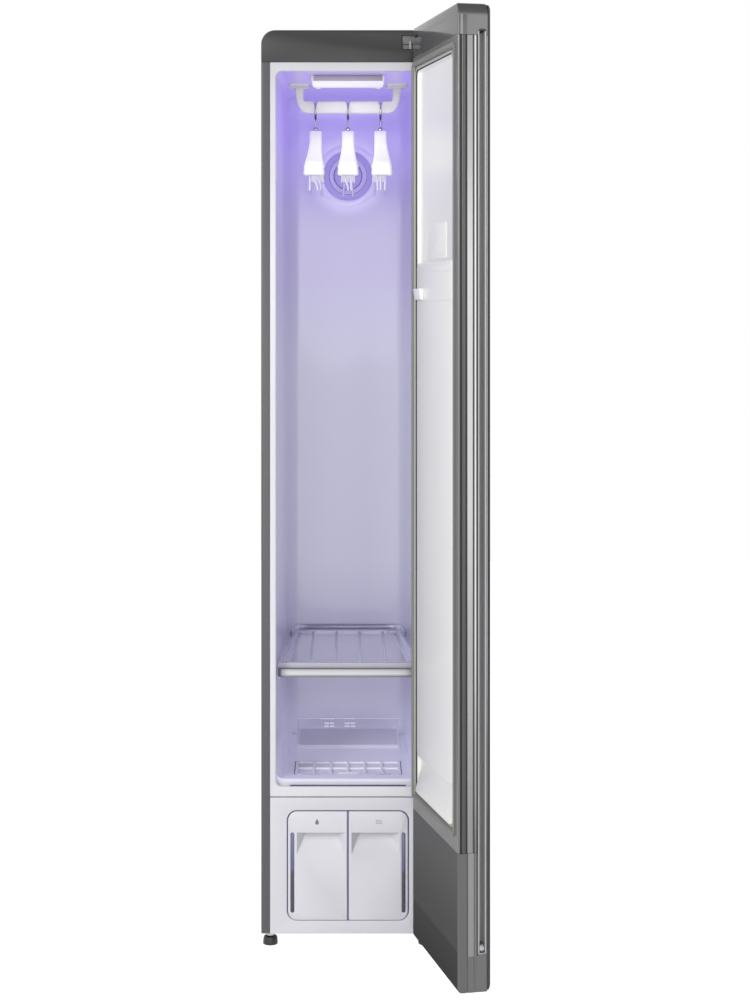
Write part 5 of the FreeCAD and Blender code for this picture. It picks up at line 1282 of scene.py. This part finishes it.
def filter_screen():
    """Lift-out filter: a rim, two rows of six sunk cells over a fine screen, and a finger lip."""
    lows, highs = FILTER
    z = FLOOR_TOP
    edge = (lows.x, highs.x, lows.y, highs.y)
    body = prism("filter_rim", rounded_outline(*edge, 0.0015, 3), lows.z, z, on_top)
    rim, bar = 0.005, 0.004
    cell = (highs.x - lows.x - 2 * rim - 5 * bar) / 6
    deep = (highs.y - lows.y - 2 * rim - bar) / 2
    starts = [lows.y + rim + row * (deep + bar) for row in range(2)]
    cutters = []
    for y in starts:
        for column in range(6):
            x = lows.x + rim + column * (cell + bar)
            cutters.append(ring_shell("cell_cut", [
                ring(grown((x, x + cell, y, y + deep), out), 0.003, height, 3) for out, height in (
                    (-0.0008, lows.z + 0.0012), (-0.0002, z - 0.0006), (0.0008, z + 0.0012))], on_top))
    pieces = [paint(shade(cut(body, *cutters)), "floor")]
    for start in starts:
        y = start + deep / 2
        wires = pattern("screen_wires", 60, 1, (0.00345, 0.01), (0.0008, deep, 0.0007), "slats")
        cross = pattern("screen_cross", 1, 13, (0.01, 0.0038), (highs.x * 2 - 0.012, 0.0008, 0.0007), "slats")
        pieces += [move(wires, Matrix.Translation((0, y, lows.z + 0.0013))),
                   move(cross, Matrix.Translation((0, y, lows.z + 0.0014)))]
    lip = box_piece("finger_lip", (-0.022, lows.y + 0.0005, z), (0.022, lows.y + 0.005, z + 0.002), 0.0009, 3)
    carry(join("filter_fine", pieces + [paint(lip, "floor")]), body_of("lint_filter"), slot_of("lint_filter"),
          None, "lint_filter")
    # Painted shadows: dark lines at the filter's ends and under its front, and a dark seam round it.
    spans = []
    for side in SIDES:
        x = side * (highs.x + 0.0014)
        spans += [(x - 0.0007, x + 0.0007, lows.y - 0.005, highs.y),
                  (*ordered(x, x - side * 0.006), lows.y - 0.0065, lows.y - 0.005)]
    spans += [(near, far, lows.y - 0.0065, lows.y - 0.005)
              for near, far in ((-0.095, -0.057), (0.058, 0.088))]
    marks = [box_piece("mark", (near, start, z - 0.001), (far, end, z + 0.0003), 0.0002)
             for near, far, start, end in spans]
    carry(join("filter_marks", marks), "cabinet", "liner_white", "shade")
    seam = swept_frame("filter_seam", edge, 0.0012, [
        (0.0001, z - 0.0022), (0.0008, z - 0.0022), (0.0008, z + 0.00005), (0.0001, z + 0.00005)], on_top, 3)
    carry(seam, "cabinet", "liner_white", "shade")


def louvre():
    lows, highs = LOUVRE
    z = FLOOR_TOP
    box = (lows.x, highs.x, lows.y, highs.y)
    rings = [ring(grown(box, out), max(0.002 + out, 0.0005), z + rise, 4) for out, rise in (
        (0, 0), (0, 0.002), (-0.0008, 0.003), (-0.0052, 0.003), (-0.006, 0.0022), (-0.006, 0))]
    pieces = [paint(ring_shell("louvre_frame", rings, on_top, True, 40), "floor"),
              paint(box_piece("louvre_rail", (lows.x, lows.y, z + 0.002),
                              (highs.x, lows.y + 0.006, z + 0.007), 0.0022, 4), "floor")]
    slats = pattern("louvre_slats", 1, 10, (0.01, (highs.y - lows.y - 0.024) / 9),
                    (highs.x * 2 - 0.0116, 0.0082, 0.0013), "slats", turn=(math.radians(42), 0, 0))
    pieces.append(move(slats, Matrix.Translation((0, (lows.y + highs.y) / 2 + 0.001, z + 0.0033))))
    # A dark plate under the slats: painted shade.
    pieces.append(paint(box_piece("louvre_back", (lows.x + 0.0055, lows.y + 0.0055, z - 0.0018),
                                  (highs.x - 0.0055, highs.y - 0.0055, z - 0.0006), 0.0002), "shade"))
    pieces += [paint(box_piece("louvre_rib", (x - 0.001, lows.y + 0.005, z + 0.0002),
                               (x + 0.001, highs.y - 0.005, z + 0.002), 0.0003), "slats")
               for x in (-0.037, 0.037)]
    whole = join("louvre_fine", pieces)
    for vert in whole.data.vertices:
        if vert.co.z > z + 0.0001:
            vert.co.z += max(vert.co.y - lows.y - 0.006, 0) * 0.115
    carry(whole, "cabinet", slot_of("floor_vent"), None, "floor_vent")


UPPER_RIBS = [(-0.0615, -0.0307), (-0.0096, 0.0153)]
LOWER_RIBS = [(-0.0527, -0.0423), (-0.0403, -0.0307), (-0.0076, 0.0039), (0.0059, 0.0163)]


def hood():
    """Clear hood with an upper lip and three rows of short ribs, near white and glowing as painted highlights.
    """
    lows, highs = low("steam_nozzle"), high("steam_nozzle")
    wall = 0.0018
    inside = (lows.y + 0.0108, highs.z - wall)
    outer = [(lows.y, lows.z), (lows.y + 0.0075, highs.z - 0.003), (lows.y + 0.0102, highs.z),
             (highs.y, highs.z)]
    inner = [(highs.y, highs.z - wall), inside, (lows.y + 0.0094, highs.z - 0.0035), (lows.y + wall, lows.z)]
    clear = [slab("hood_shell", outer + inner, lows.x, highs.x, on_side, 0.0004, 1)]
    for side in SIDES:
        near, far = ordered(side * (highs.x - wall), side * highs.x)
        clear.append(prism("hood_cheek", [(lows.y + 0.002, lows.z), (highs.y, lows.z), inner[0], inside],
                           near, far, on_side, 30))
    # Lip and ribs: near white with a glow, painted highlights on the clear hood.
    bright = [box_piece("hood_lip", (lows.x, lows.y + 0.0098, highs.z - 0.0012),
                        (highs.x, lows.y + 0.0118, highs.z), 0.0004)]
    for spans, level, tall in ((UPPER_RIBS, -0.0014, 0.0016), (LOWER_RIBS, -0.0120, 0.0034),
                               (LOWER_RIBS, -0.0185, 0.0034)):
        depth = lows.y + 0.0080 + level * 0.0075 / 0.035
        bright += [box_piece("hood_rib", (near, depth - 0.0014, highs.z + level),
                             (far, depth + 0.0008, highs.z + level + tall), 0.0005) for near, far in spans]
    pieces = [paint(item, "clear") for item in clear] + [paint(item, "bright") for item in bright]
    carry(join("hood_fine", pieces), "cabinet", slot_of("steam_nozzle"), None, "steam_nozzle")


# ------------------------------------------------------------------ feet
def feet():
    """Levelling feet: twelve-sided black knob, bright collar and threaded stud."""
    for node in [name for name in frame["nodes"] if name.startswith("foot_")]:
        lows, highs = low(node), high(node)
        centre = ((lows.x + highs.x) / 2, (lows.y + highs.y) / 2)
        rings = [circle(radius, centre, z, 12, 0.5) for radius, z in (
            (0.0138, 0.0), (0.0152, 0.0010), (0.0154, 0.0040), (0.0146, 0.0120), (0.0130, 0.0165),
            (0.0095, 0.0180))]
        knob = paint(soften(ring_shell("knob", rings, on_top), 0.0007, 2, 20), "black")
        profile = [(0, 0.018), (0.0074, 0.018), (0.0080, 0.0186), (0.0080, 0.0236), (0.0070, 0.0246),
                   (0.0054, 0.0248), (0.0054, 0.0262), (0.0072, 0.0266), (0.0072, 0.0290), (0.0060, 0.0295)]
        z = 0.0296
        while z < highs.z - 0.002:
            profile += [(0.0050, z), (0.0044, z + 0.0007)]
            z += 0.0014
        profile += [(0.0046, highs.z - 0.0008), (0.004, highs.z), (0, highs.z)]
        stem = paint(lathe("stem", profile, centre, 32, on_top, 40), "steel")
        carry(join(node + "_fine", [knob, stem]), body_of(node), "steel", None, node)


# ------------------------------------------------------------------ door
def door_box(node):
    """Lowest and highest corners of a door node in the door's own directions u, v, z."""
    spots = [OFF_DOOR @ vert.co for vert in frame["nodes"][node].data.vertices]
    return [Vector([pick(spot[i] for spot in spots) for i in range(3)]) for pick in (min, max)]


def flat_box(node):
    """Left, right, bottom and top of a door node as seen from the front of the door."""
    lows, highs = door_box(node)
    return (lows.x, highs.x, lows.z, highs.z)


(FREE, FRAME_BACK, _), (HINGE_END, INNER, _) = door_box("door_frame")
SEAM_LOW, SEAM_HIGH = 0.287, 1.7912
BEVEL_TOP = 0.014
FOOT_ROUND = 0.008
PIVOT_BORE = 0.0053
SEAL_WIDE = 0.011
UPPER_EDGE = [
    (0.0022, 0.0200), (0.0008, 0.0196), (0.0001, 0.0185), (0.0001, 0.0166), (0.0008, 0.0160), (0.0028, 0.0158),
    (0.0028, 0.0122), (0.0012, 0.0119), (0.0004, 0.0108), (0.0001, 0.0085), (0.0004, 0.0062), (0.0012, 0.0049),
    (0.0028, 0.0044), (0.0028, 0.0016), (0.0010, 0.0013), (0.0004, 0.0006), (0.0001, -0.0014), (0.0001, -0.0060),
    (0.0004, -0.0079), (0.0010, -0.0086), (0.0026, -0.0089), (0.0026, -0.0116), (0.0010, -0.0119),
    (0.0003, -0.0126), (0.0001, -0.0136), (0.0003, -0.0146), (0.0010, -0.0154), (0.0024, -0.0158),
    (0.0024, -0.0184), (0.0006, -0.0187), (0.0006, -0.0347), (0.0010, -0.0352), (0.0018, -0.0360),
]
LOWER_EDGE = [
    (0.0022, 0.0200), (0.0008, 0.0196), (0.0001, 0.0185), (0.0001, 0.0035), (0.0006, 0.0026), (0.0018, 0.0022),
    (0.0018, 0.0008), (0.0006, 0.0004), (0.0001, -0.0006), (0.0001, -0.0098), (0.0006, -0.0106),
    (0.0012, -0.0117), (0.0006, -0.0124), (0.0001, -0.0136), (0.0006, -0.0148), (0.0012, -0.0156),
    (0.0006, -0.0187), (0.0006, -0.0347), (0.0010, -0.0352), (0.0018, -0.0360),
]
# Bands across the free edge: the black and dark bands in its grooves are painted shade, the bright metal on its
# lips painted highlight.
UPPER_BANDS = [(0.0159, "trim"), (0.0121, "gap"), (0.0046, "trim_dark"), (0.0015, "gap"), (-0.0088, "strip"),
               (-0.0118, "trim_dark"), (-0.0156, "bright_metal"), (-0.0186, "trim_dark"), (-0.0345, "trim"),
               (-1.0, "bright_metal")]
# By the foot the bands take darker copies of the trims: painted shade.
LOWER_BANDS = [(0.0024, "foot_trim"), (0.0006, "trim_dark"), (-0.0103, "strip_low"), (-0.0118, "trim_dark"),
               (-0.0156, "bright_metal"), (-0.0186, "trim_dark"), (-0.0345, "foot_plain"),
               (-1.0, "bright_metal")]
PLAIN_FOOT = 0.0972


def door_plan_outline(edge):
    """Plan of the door core: hinge side with its rounded inner corner, then the free edge's section."""
    corner = 0.010
    side = [(HINGE_END - 0.0008, FRAME_BACK), (HINGE_END, FRAME_BACK + 0.0008)]
    side += arc((HINGE_END - corner, INNER - corner), corner, 0, 90, 8)
    free = [(FREE + depth, v) for depth, v in edge if v > FRAME_BACK]
    return side + free + [(FREE + 0.0018, FRAME_BACK)]


def band_skins(thing, bands, inner):
    """Finish of each face: bands along the free edge by their place, the rest by the way it faces."""
    skins = list(dict.fromkeys([skin for limit, skin in bands] + [inner, "trim", "trim_dark", "foot_plain"]))
    turn = OFF_DOOR.to_3x3()

    def choose(face):
        spot, normal = OFF_DOOR @ face.center, turn @ face.normal
        skin = "trim_dark"
        if spot.x < FREE + 0.004 and abs(normal.z) < 0.7:
            skin = next(name for limit, name in bands if spot.y > limit)
            if spot.z < PLAIN_FOOT and spot.y < 0.0024:
                skin = "foot_plain"
        elif normal.y > 0.5 and spot.y > INNER - 0.002:
            skin = inner
        return skins.index(skin)

    return sort_faces(paint(thing, *skins), choose)


def hinge_cutters(start, end, bore_start, bore_end):
    """Room for a hinge arm at the door's end, and the bore for its pin."""
    return (block("pocket_cut", (-0.024, -0.012, start), (HINGE_END + 0.001, INNER + 0.001, end), DOOR),
            bore("bore_cut", (0, 0), PIVOT_BORE, bore_start, bore_end, door_plan))


def core():
    """Door carcass in two lengths: the trimmed upper part round the dish and the plain foot."""
    upper = prism("door_core", door_plan_outline(UPPER_EDGE), SEAM_LOW, SEAM_HIGH - 0.0006, door_plan)
    dish_cut = prism("dish_cut", rounded_outline(*grown(flat_box("door_liner"), 0.0004), 0.014, 8),
                     0.008, 0.03, on_door)
    cut(upper, dish_cut, grip_cutter())
    band_skins(upper, UPPER_BANDS, "trim")
    levels = [(FOOT_ROUND * (1 - math.sin(turn)), BASE + FOOT_ROUND * (1 - math.cos(turn)))
              for turn in [math.radians(step) for step in (0, 18, 36, 54, 72, 90)]]
    rings = []
    for inset, z in levels + [(0, PLAIN_FOOT), (0, SEAM_LOW - 0.0006)]:
        rings.append([(a + inset * (0.2 if a < -0.3 else (-0.2 if a > 0.01 else 0)),
                       min(b, INNER - inset) + (inset * 0.15 if b < -0.03 else 0), z)
                      for a, b in door_plan_outline(LOWER_EDGE)])
    lower = ring_shell("door_foot", rings, door_plan)
    cut(lower, *hinge_cutters(BASE - 0.001, 0.0475, 0.046, 0.058), grip_cutter())
    band_skins(lower, LOWER_BANDS, "door_gloss")
    carry(join("door_core_fine", [upper, lower]), "door", "door_grey", None, "door_frame")


def grip_outline(out):
    lows, highs = door_box("handle_channel")
    return rounded_outline(*grown((lows.y, highs.y, lows.z, highs.z), out), max(0.0045 + out, 0.0006), 8)


def grip_cutter():
    return prism("grip_cut", grip_outline(0.0001), FREE - 0.001, FREE + 0.0236, across)


def cap():
    """Moulded cap over the door, its free end and outer edge rolled over to the top."""
    rings = []
    for z, free, out, inner in (
            (SEAM_HIGH, 0.0008, 0, 0.0006), (SEAM_HIGH + 0.0006, 0.0001, 0, 0), (1.8240, 0.0001, 0, 0),
            (1.8290, 0.0003, 0, 0), (1.8340, 0.0009, 0, 0), (1.8390, 0.0019, 0, 0), (1.8430, 0.0032, 0, 0),
            (1.8462, 0.0049, 0, 0.0002), (1.8485, 0.0070, 0.0027, 0.0008), (1.8496, 0.0090, 0.0057, 0.0016),
            (TOP, 0.0118, 0.0090, 0.0028)):
        box = (FREE + free, HINGE_END - min(free, 0.003), FRAME_BACK + out, INNER - inner)
        rings.append(ring(box, [0.0012, 0.010, 0.0022, 0.0008], z, 6))
    lid = ring_shell("door_cap", rings, door_plan)
    cut(lid, *hinge_cutters(1.828, 1.8355, 1.8345, 1.846), grip_cutter())
    turn = OFF_DOOR.to_3x3()

    def choose(face):
        normal = turn @ face.normal
        if normal.x < -0.6:
            return 1
        return 2 if normal.z > 0.3 or normal.y < -0.5 else 0

    pieces = [shade(sort_faces(paint(lid, "cap_gloss", "cap_end", "trim_dark"), choose), 38)]
    for v, wide, skin in ((0.0168, 0.0030, "cap_ridge"), (0.0128, 0.0028, "cap_light"),
                          (0.0062, 0.0078, "cap_ridge")):
        pieces.append(paint(box_piece("cap_ridge", (FREE, v - wide / 2, SEAM_HIGH + 0.001),
                                      (FREE + 0.0005, v + wide / 2, 1.8285), 0.0002, 2, DOOR), skin))
    carry(join("door_cap_fine", pieces), "door", "door_grey", None)


def door_panel():
    """Mirror-finished outer panel with rounded upright edges, rolled over at the top and the foot."""
    lows, highs = door_box("door_glass")
    rolled = [(BEVEL_TOP * (1 - math.sin(turn)), lows.y + BEVEL_TOP * (1 - math.cos(turn)))
              for turn in [math.radians(step) for step in (48, 42, 34, 26, 18, 9, 0)]]
    levels = [(lows.z + drop, v) for drop, v in rolled] + [(TOP - drop, v) for drop, v in rolled[::-1]]
    rings = []
    for z, v in levels:
        edge = min(0.0022, (highs.y - v) * 0.45)
        rings.append(ring((lows.x, highs.x, v, highs.y), [edge, edge * 0.2, edge * 0.2, edge], z, 6))
    panel = ring_shell("door_panel", rings, door_plan, smooth=40)
    carry(panel, "door", slot_of("door_glass"), "mirror", "door_glass")


def dish():
    """White moulded liner: flange inside the seal, drafted walls, drip wedge and buffers."""
    lows, highs = door_box("door_liner")
    floor = 0.0105
    rings = [frame_ring(flat_box("door_liner"), 0.0135, grow, v, 8) for grow, v in (
        (-0.0030, 0.0081), (-0.0006, 0.0085), (0, 0.0100), (0, 0.0202), (0.0045, 0.0202), (0.0047, 0.0205),
        (0.0044, 0.0208), (-0.0004, 0.0208), (-0.0014, 0.0201), (-0.0022, 0.0180), (-0.0034, 0.0130),
        (-0.0048, 0.0112), (-0.0080, floor))]
    skin = paint(ring_shell("dish_shell", rings, on_door, smooth=40), "door_white", "gap", "lip")

    # The flange's rim by the seal's top and hinge side takes the near black tone: painted shadow between the
    # seal and the liner.
    def choose(face):
        spot = OFF_DOOR @ face.center
        if 0.0185 < spot.y < 0.0206 and (spot.x > highs.x - 0.008 or spot.z > highs.z - 0.008):
            return 1
        return 2 if spot.y > 0.0206 else None

    sort_faces(skin, choose)
    foot = lows.z + 0.001
    section = [(floor - 0.001, 0), (INNER + 0.0046, 0), (INNER + 0.005, 0.0006), (INNER + 0.0048, 0.0030),
               (INNER - 0.0010, 0.0260), (floor + 0.0030, 0.0440), (floor + 0.0009, 0.0540),
               (floor + 0.0001, 0.0640), (floor - 0.001, 0.0640)]
    white = [slab("drip_wedge", [(v, foot + rise) for v, rise in section], lows.x + 0.0125, highs.x - 0.0125,
                  across, 0.0012, 3),
             slab("bare_plate", rounded_outline(-0.210, -0.068, 1.384, 1.454, 0.004, 6), floor - 0.0004,
                  floor + 0.0005, on_door, 0.0002),
             swept_frame("plate_border", (-0.209, -0.069, 1.385, 1.453), 0.003,
                         [(-0.0006, floor + 0.0004), (-0.0002, floor + 0.0008), (0.0002, floor + 0.0008),
                          (0.0006, floor + 0.0004)], on_door, 5)]
    white += [box_piece("buffer", (u, floor - 0.0005, z), (u + 0.012, floor + 0.0015, z + 0.012),
                        0.0006, 2, DOOR)
              for u in (lows.x + 0.030, highs.x - 0.042) for z in (0.430, 1.336)]
    carry(join("dish_fine", [skin] + [paint(item, "door_white") for item in white]), "door",
          slot_of("door_liner"), None, "door_liner")


def seal():
    """Soft seal: a hollow-looking bulb with a thin lip along its inner edge."""
    top = door_box("door_gasket")[1].y
    box = grown(flat_box("door_gasket"), -SEAL_WIDE)
    bulb = swept_frame("seal_bulb", box, 0.003, [
        (0.0016, INNER + 0.0002), (0.0012, INNER + 0.0018), (0.0006, INNER + 0.0040), (0.0014, top - 0.0012),
        (0.0034, top - 0.0002), (0.0060, top), (0.0086, top - 0.0008), (0.0102, top - 0.0024),
        (0.0096, INNER + 0.0022), (0.0108, INNER + 0.0010), (0.0108, INNER + 0.0002)], on_door, 8)
    lip = swept_frame("seal_lip", box, 0.003, [
        (0.0003, INNER + 0.0008), (0.0001, INNER + 0.0024), (0.0006, INNER + 0.0030),
        (0.0012, INNER + 0.0026), (0.0014, INNER + 0.0008)], on_door, 8)
    for thing in (bulb, lip):
        for vert in thing.data.vertices:
            spot = OFF_DOOR @ vert.co
            share = min(max((-0.280 - spot.x) / 0.018, 0), 1)
            spot.y = INNER + (spot.y - INNER) * (1 - 0.55 * share)
            vert.co = DOOR @ spot
    carry(join("seal_fine", [paint(bulb, "gasket"), paint(lip, "lip")]), "door", slot_of("door_gasket"), None,
          "door_gasket")


def grip():
    """Bright half-round extrusion in the free edge, closed by a rounded end at top and foot."""
    rings = []
    for out, depth in ((-0.0062, 0.0231), (-0.0040, 0.0227), (-0.0012, 0.0205), (-0.0001, 0.0170),
                       (-0.0001, 0.0012), (-0.0004, 0.0004), (-0.0010, 0.0001), (-0.0018, 0.0004),
                       (-0.0024, 0.0014), (-0.0026, 0.0040), (-0.0028, 0.0130), (-0.0034, 0.0165),
                       (-0.0046, 0.0193), (-0.0060, 0.0210), (-0.0072, 0.0217)):
        rings.append([(a, b, FREE + depth) for a, b in grip_outline(out)])
    channel = paint(ring_shell("grip_shell", rings, across, smooth=60), "grip", "trim_dark")
    sort_faces(channel, lambda face: 1 if face.center.z > SEAM_HIGH or face.center.z < 0.1 else None)
    shape = bmesh.new()
    bmesh.ops.create_uvsphere(shape, u_segments=32, v_segments=20, radius=1)
    lows, highs = door_box("handle_channel")
    middle = Vector((FREE + 0.0085, (lows.y + highs.y) / 2, 0.1095))
    for vert in shape.verts:
        vert.co = DOOR @ (middle + Vector((vert.co.x * 0.0082, vert.co.y * 0.0074, vert.co.z * 0.0096)))
    ball = paint(from_bmesh("grip_end", shape, 60), "grip_ball")
    carry(join("grip_fine", [channel, ball]), "door", slot_of("handle_channel"), None, "handle_channel")


def press_board():
    """Press board with rounded corners and two cross seams, and its small sliding latch."""
    lows, highs = door_box("press_plate")
    board = slab("press_board", rounded_outline(*flat_box("press_plate"), 0.012, 8), lows.y, highs.y, on_door,
                 0.0016, 3)
    grooves = [block("groove", (lows.x - 0.001, highs.y - 0.0009, z),
                     (highs.x + 0.001, highs.y + 0.001, z + 0.0011), DOOR) for z in (1.3025, 1.3585)]
    carry(shade(cut(board, *grooves), 38), "press", slot_of("press_plate"), "press", "press_plate")
    refine("press_latch", 0.0009, "press", 3)


make_materials()
make_camera()
make_lights()
make_floor()
finish_kept()
cabinet_body()
tanks()
lamp()
rail()
for name, x in HANGERS.items():
    hanger(name, x)
    hook(name, x)
vent()
shelf()
cavity_floor()
feet()
for make in (core, cap, door_panel, dish, seal, grip, press_board):
    make()
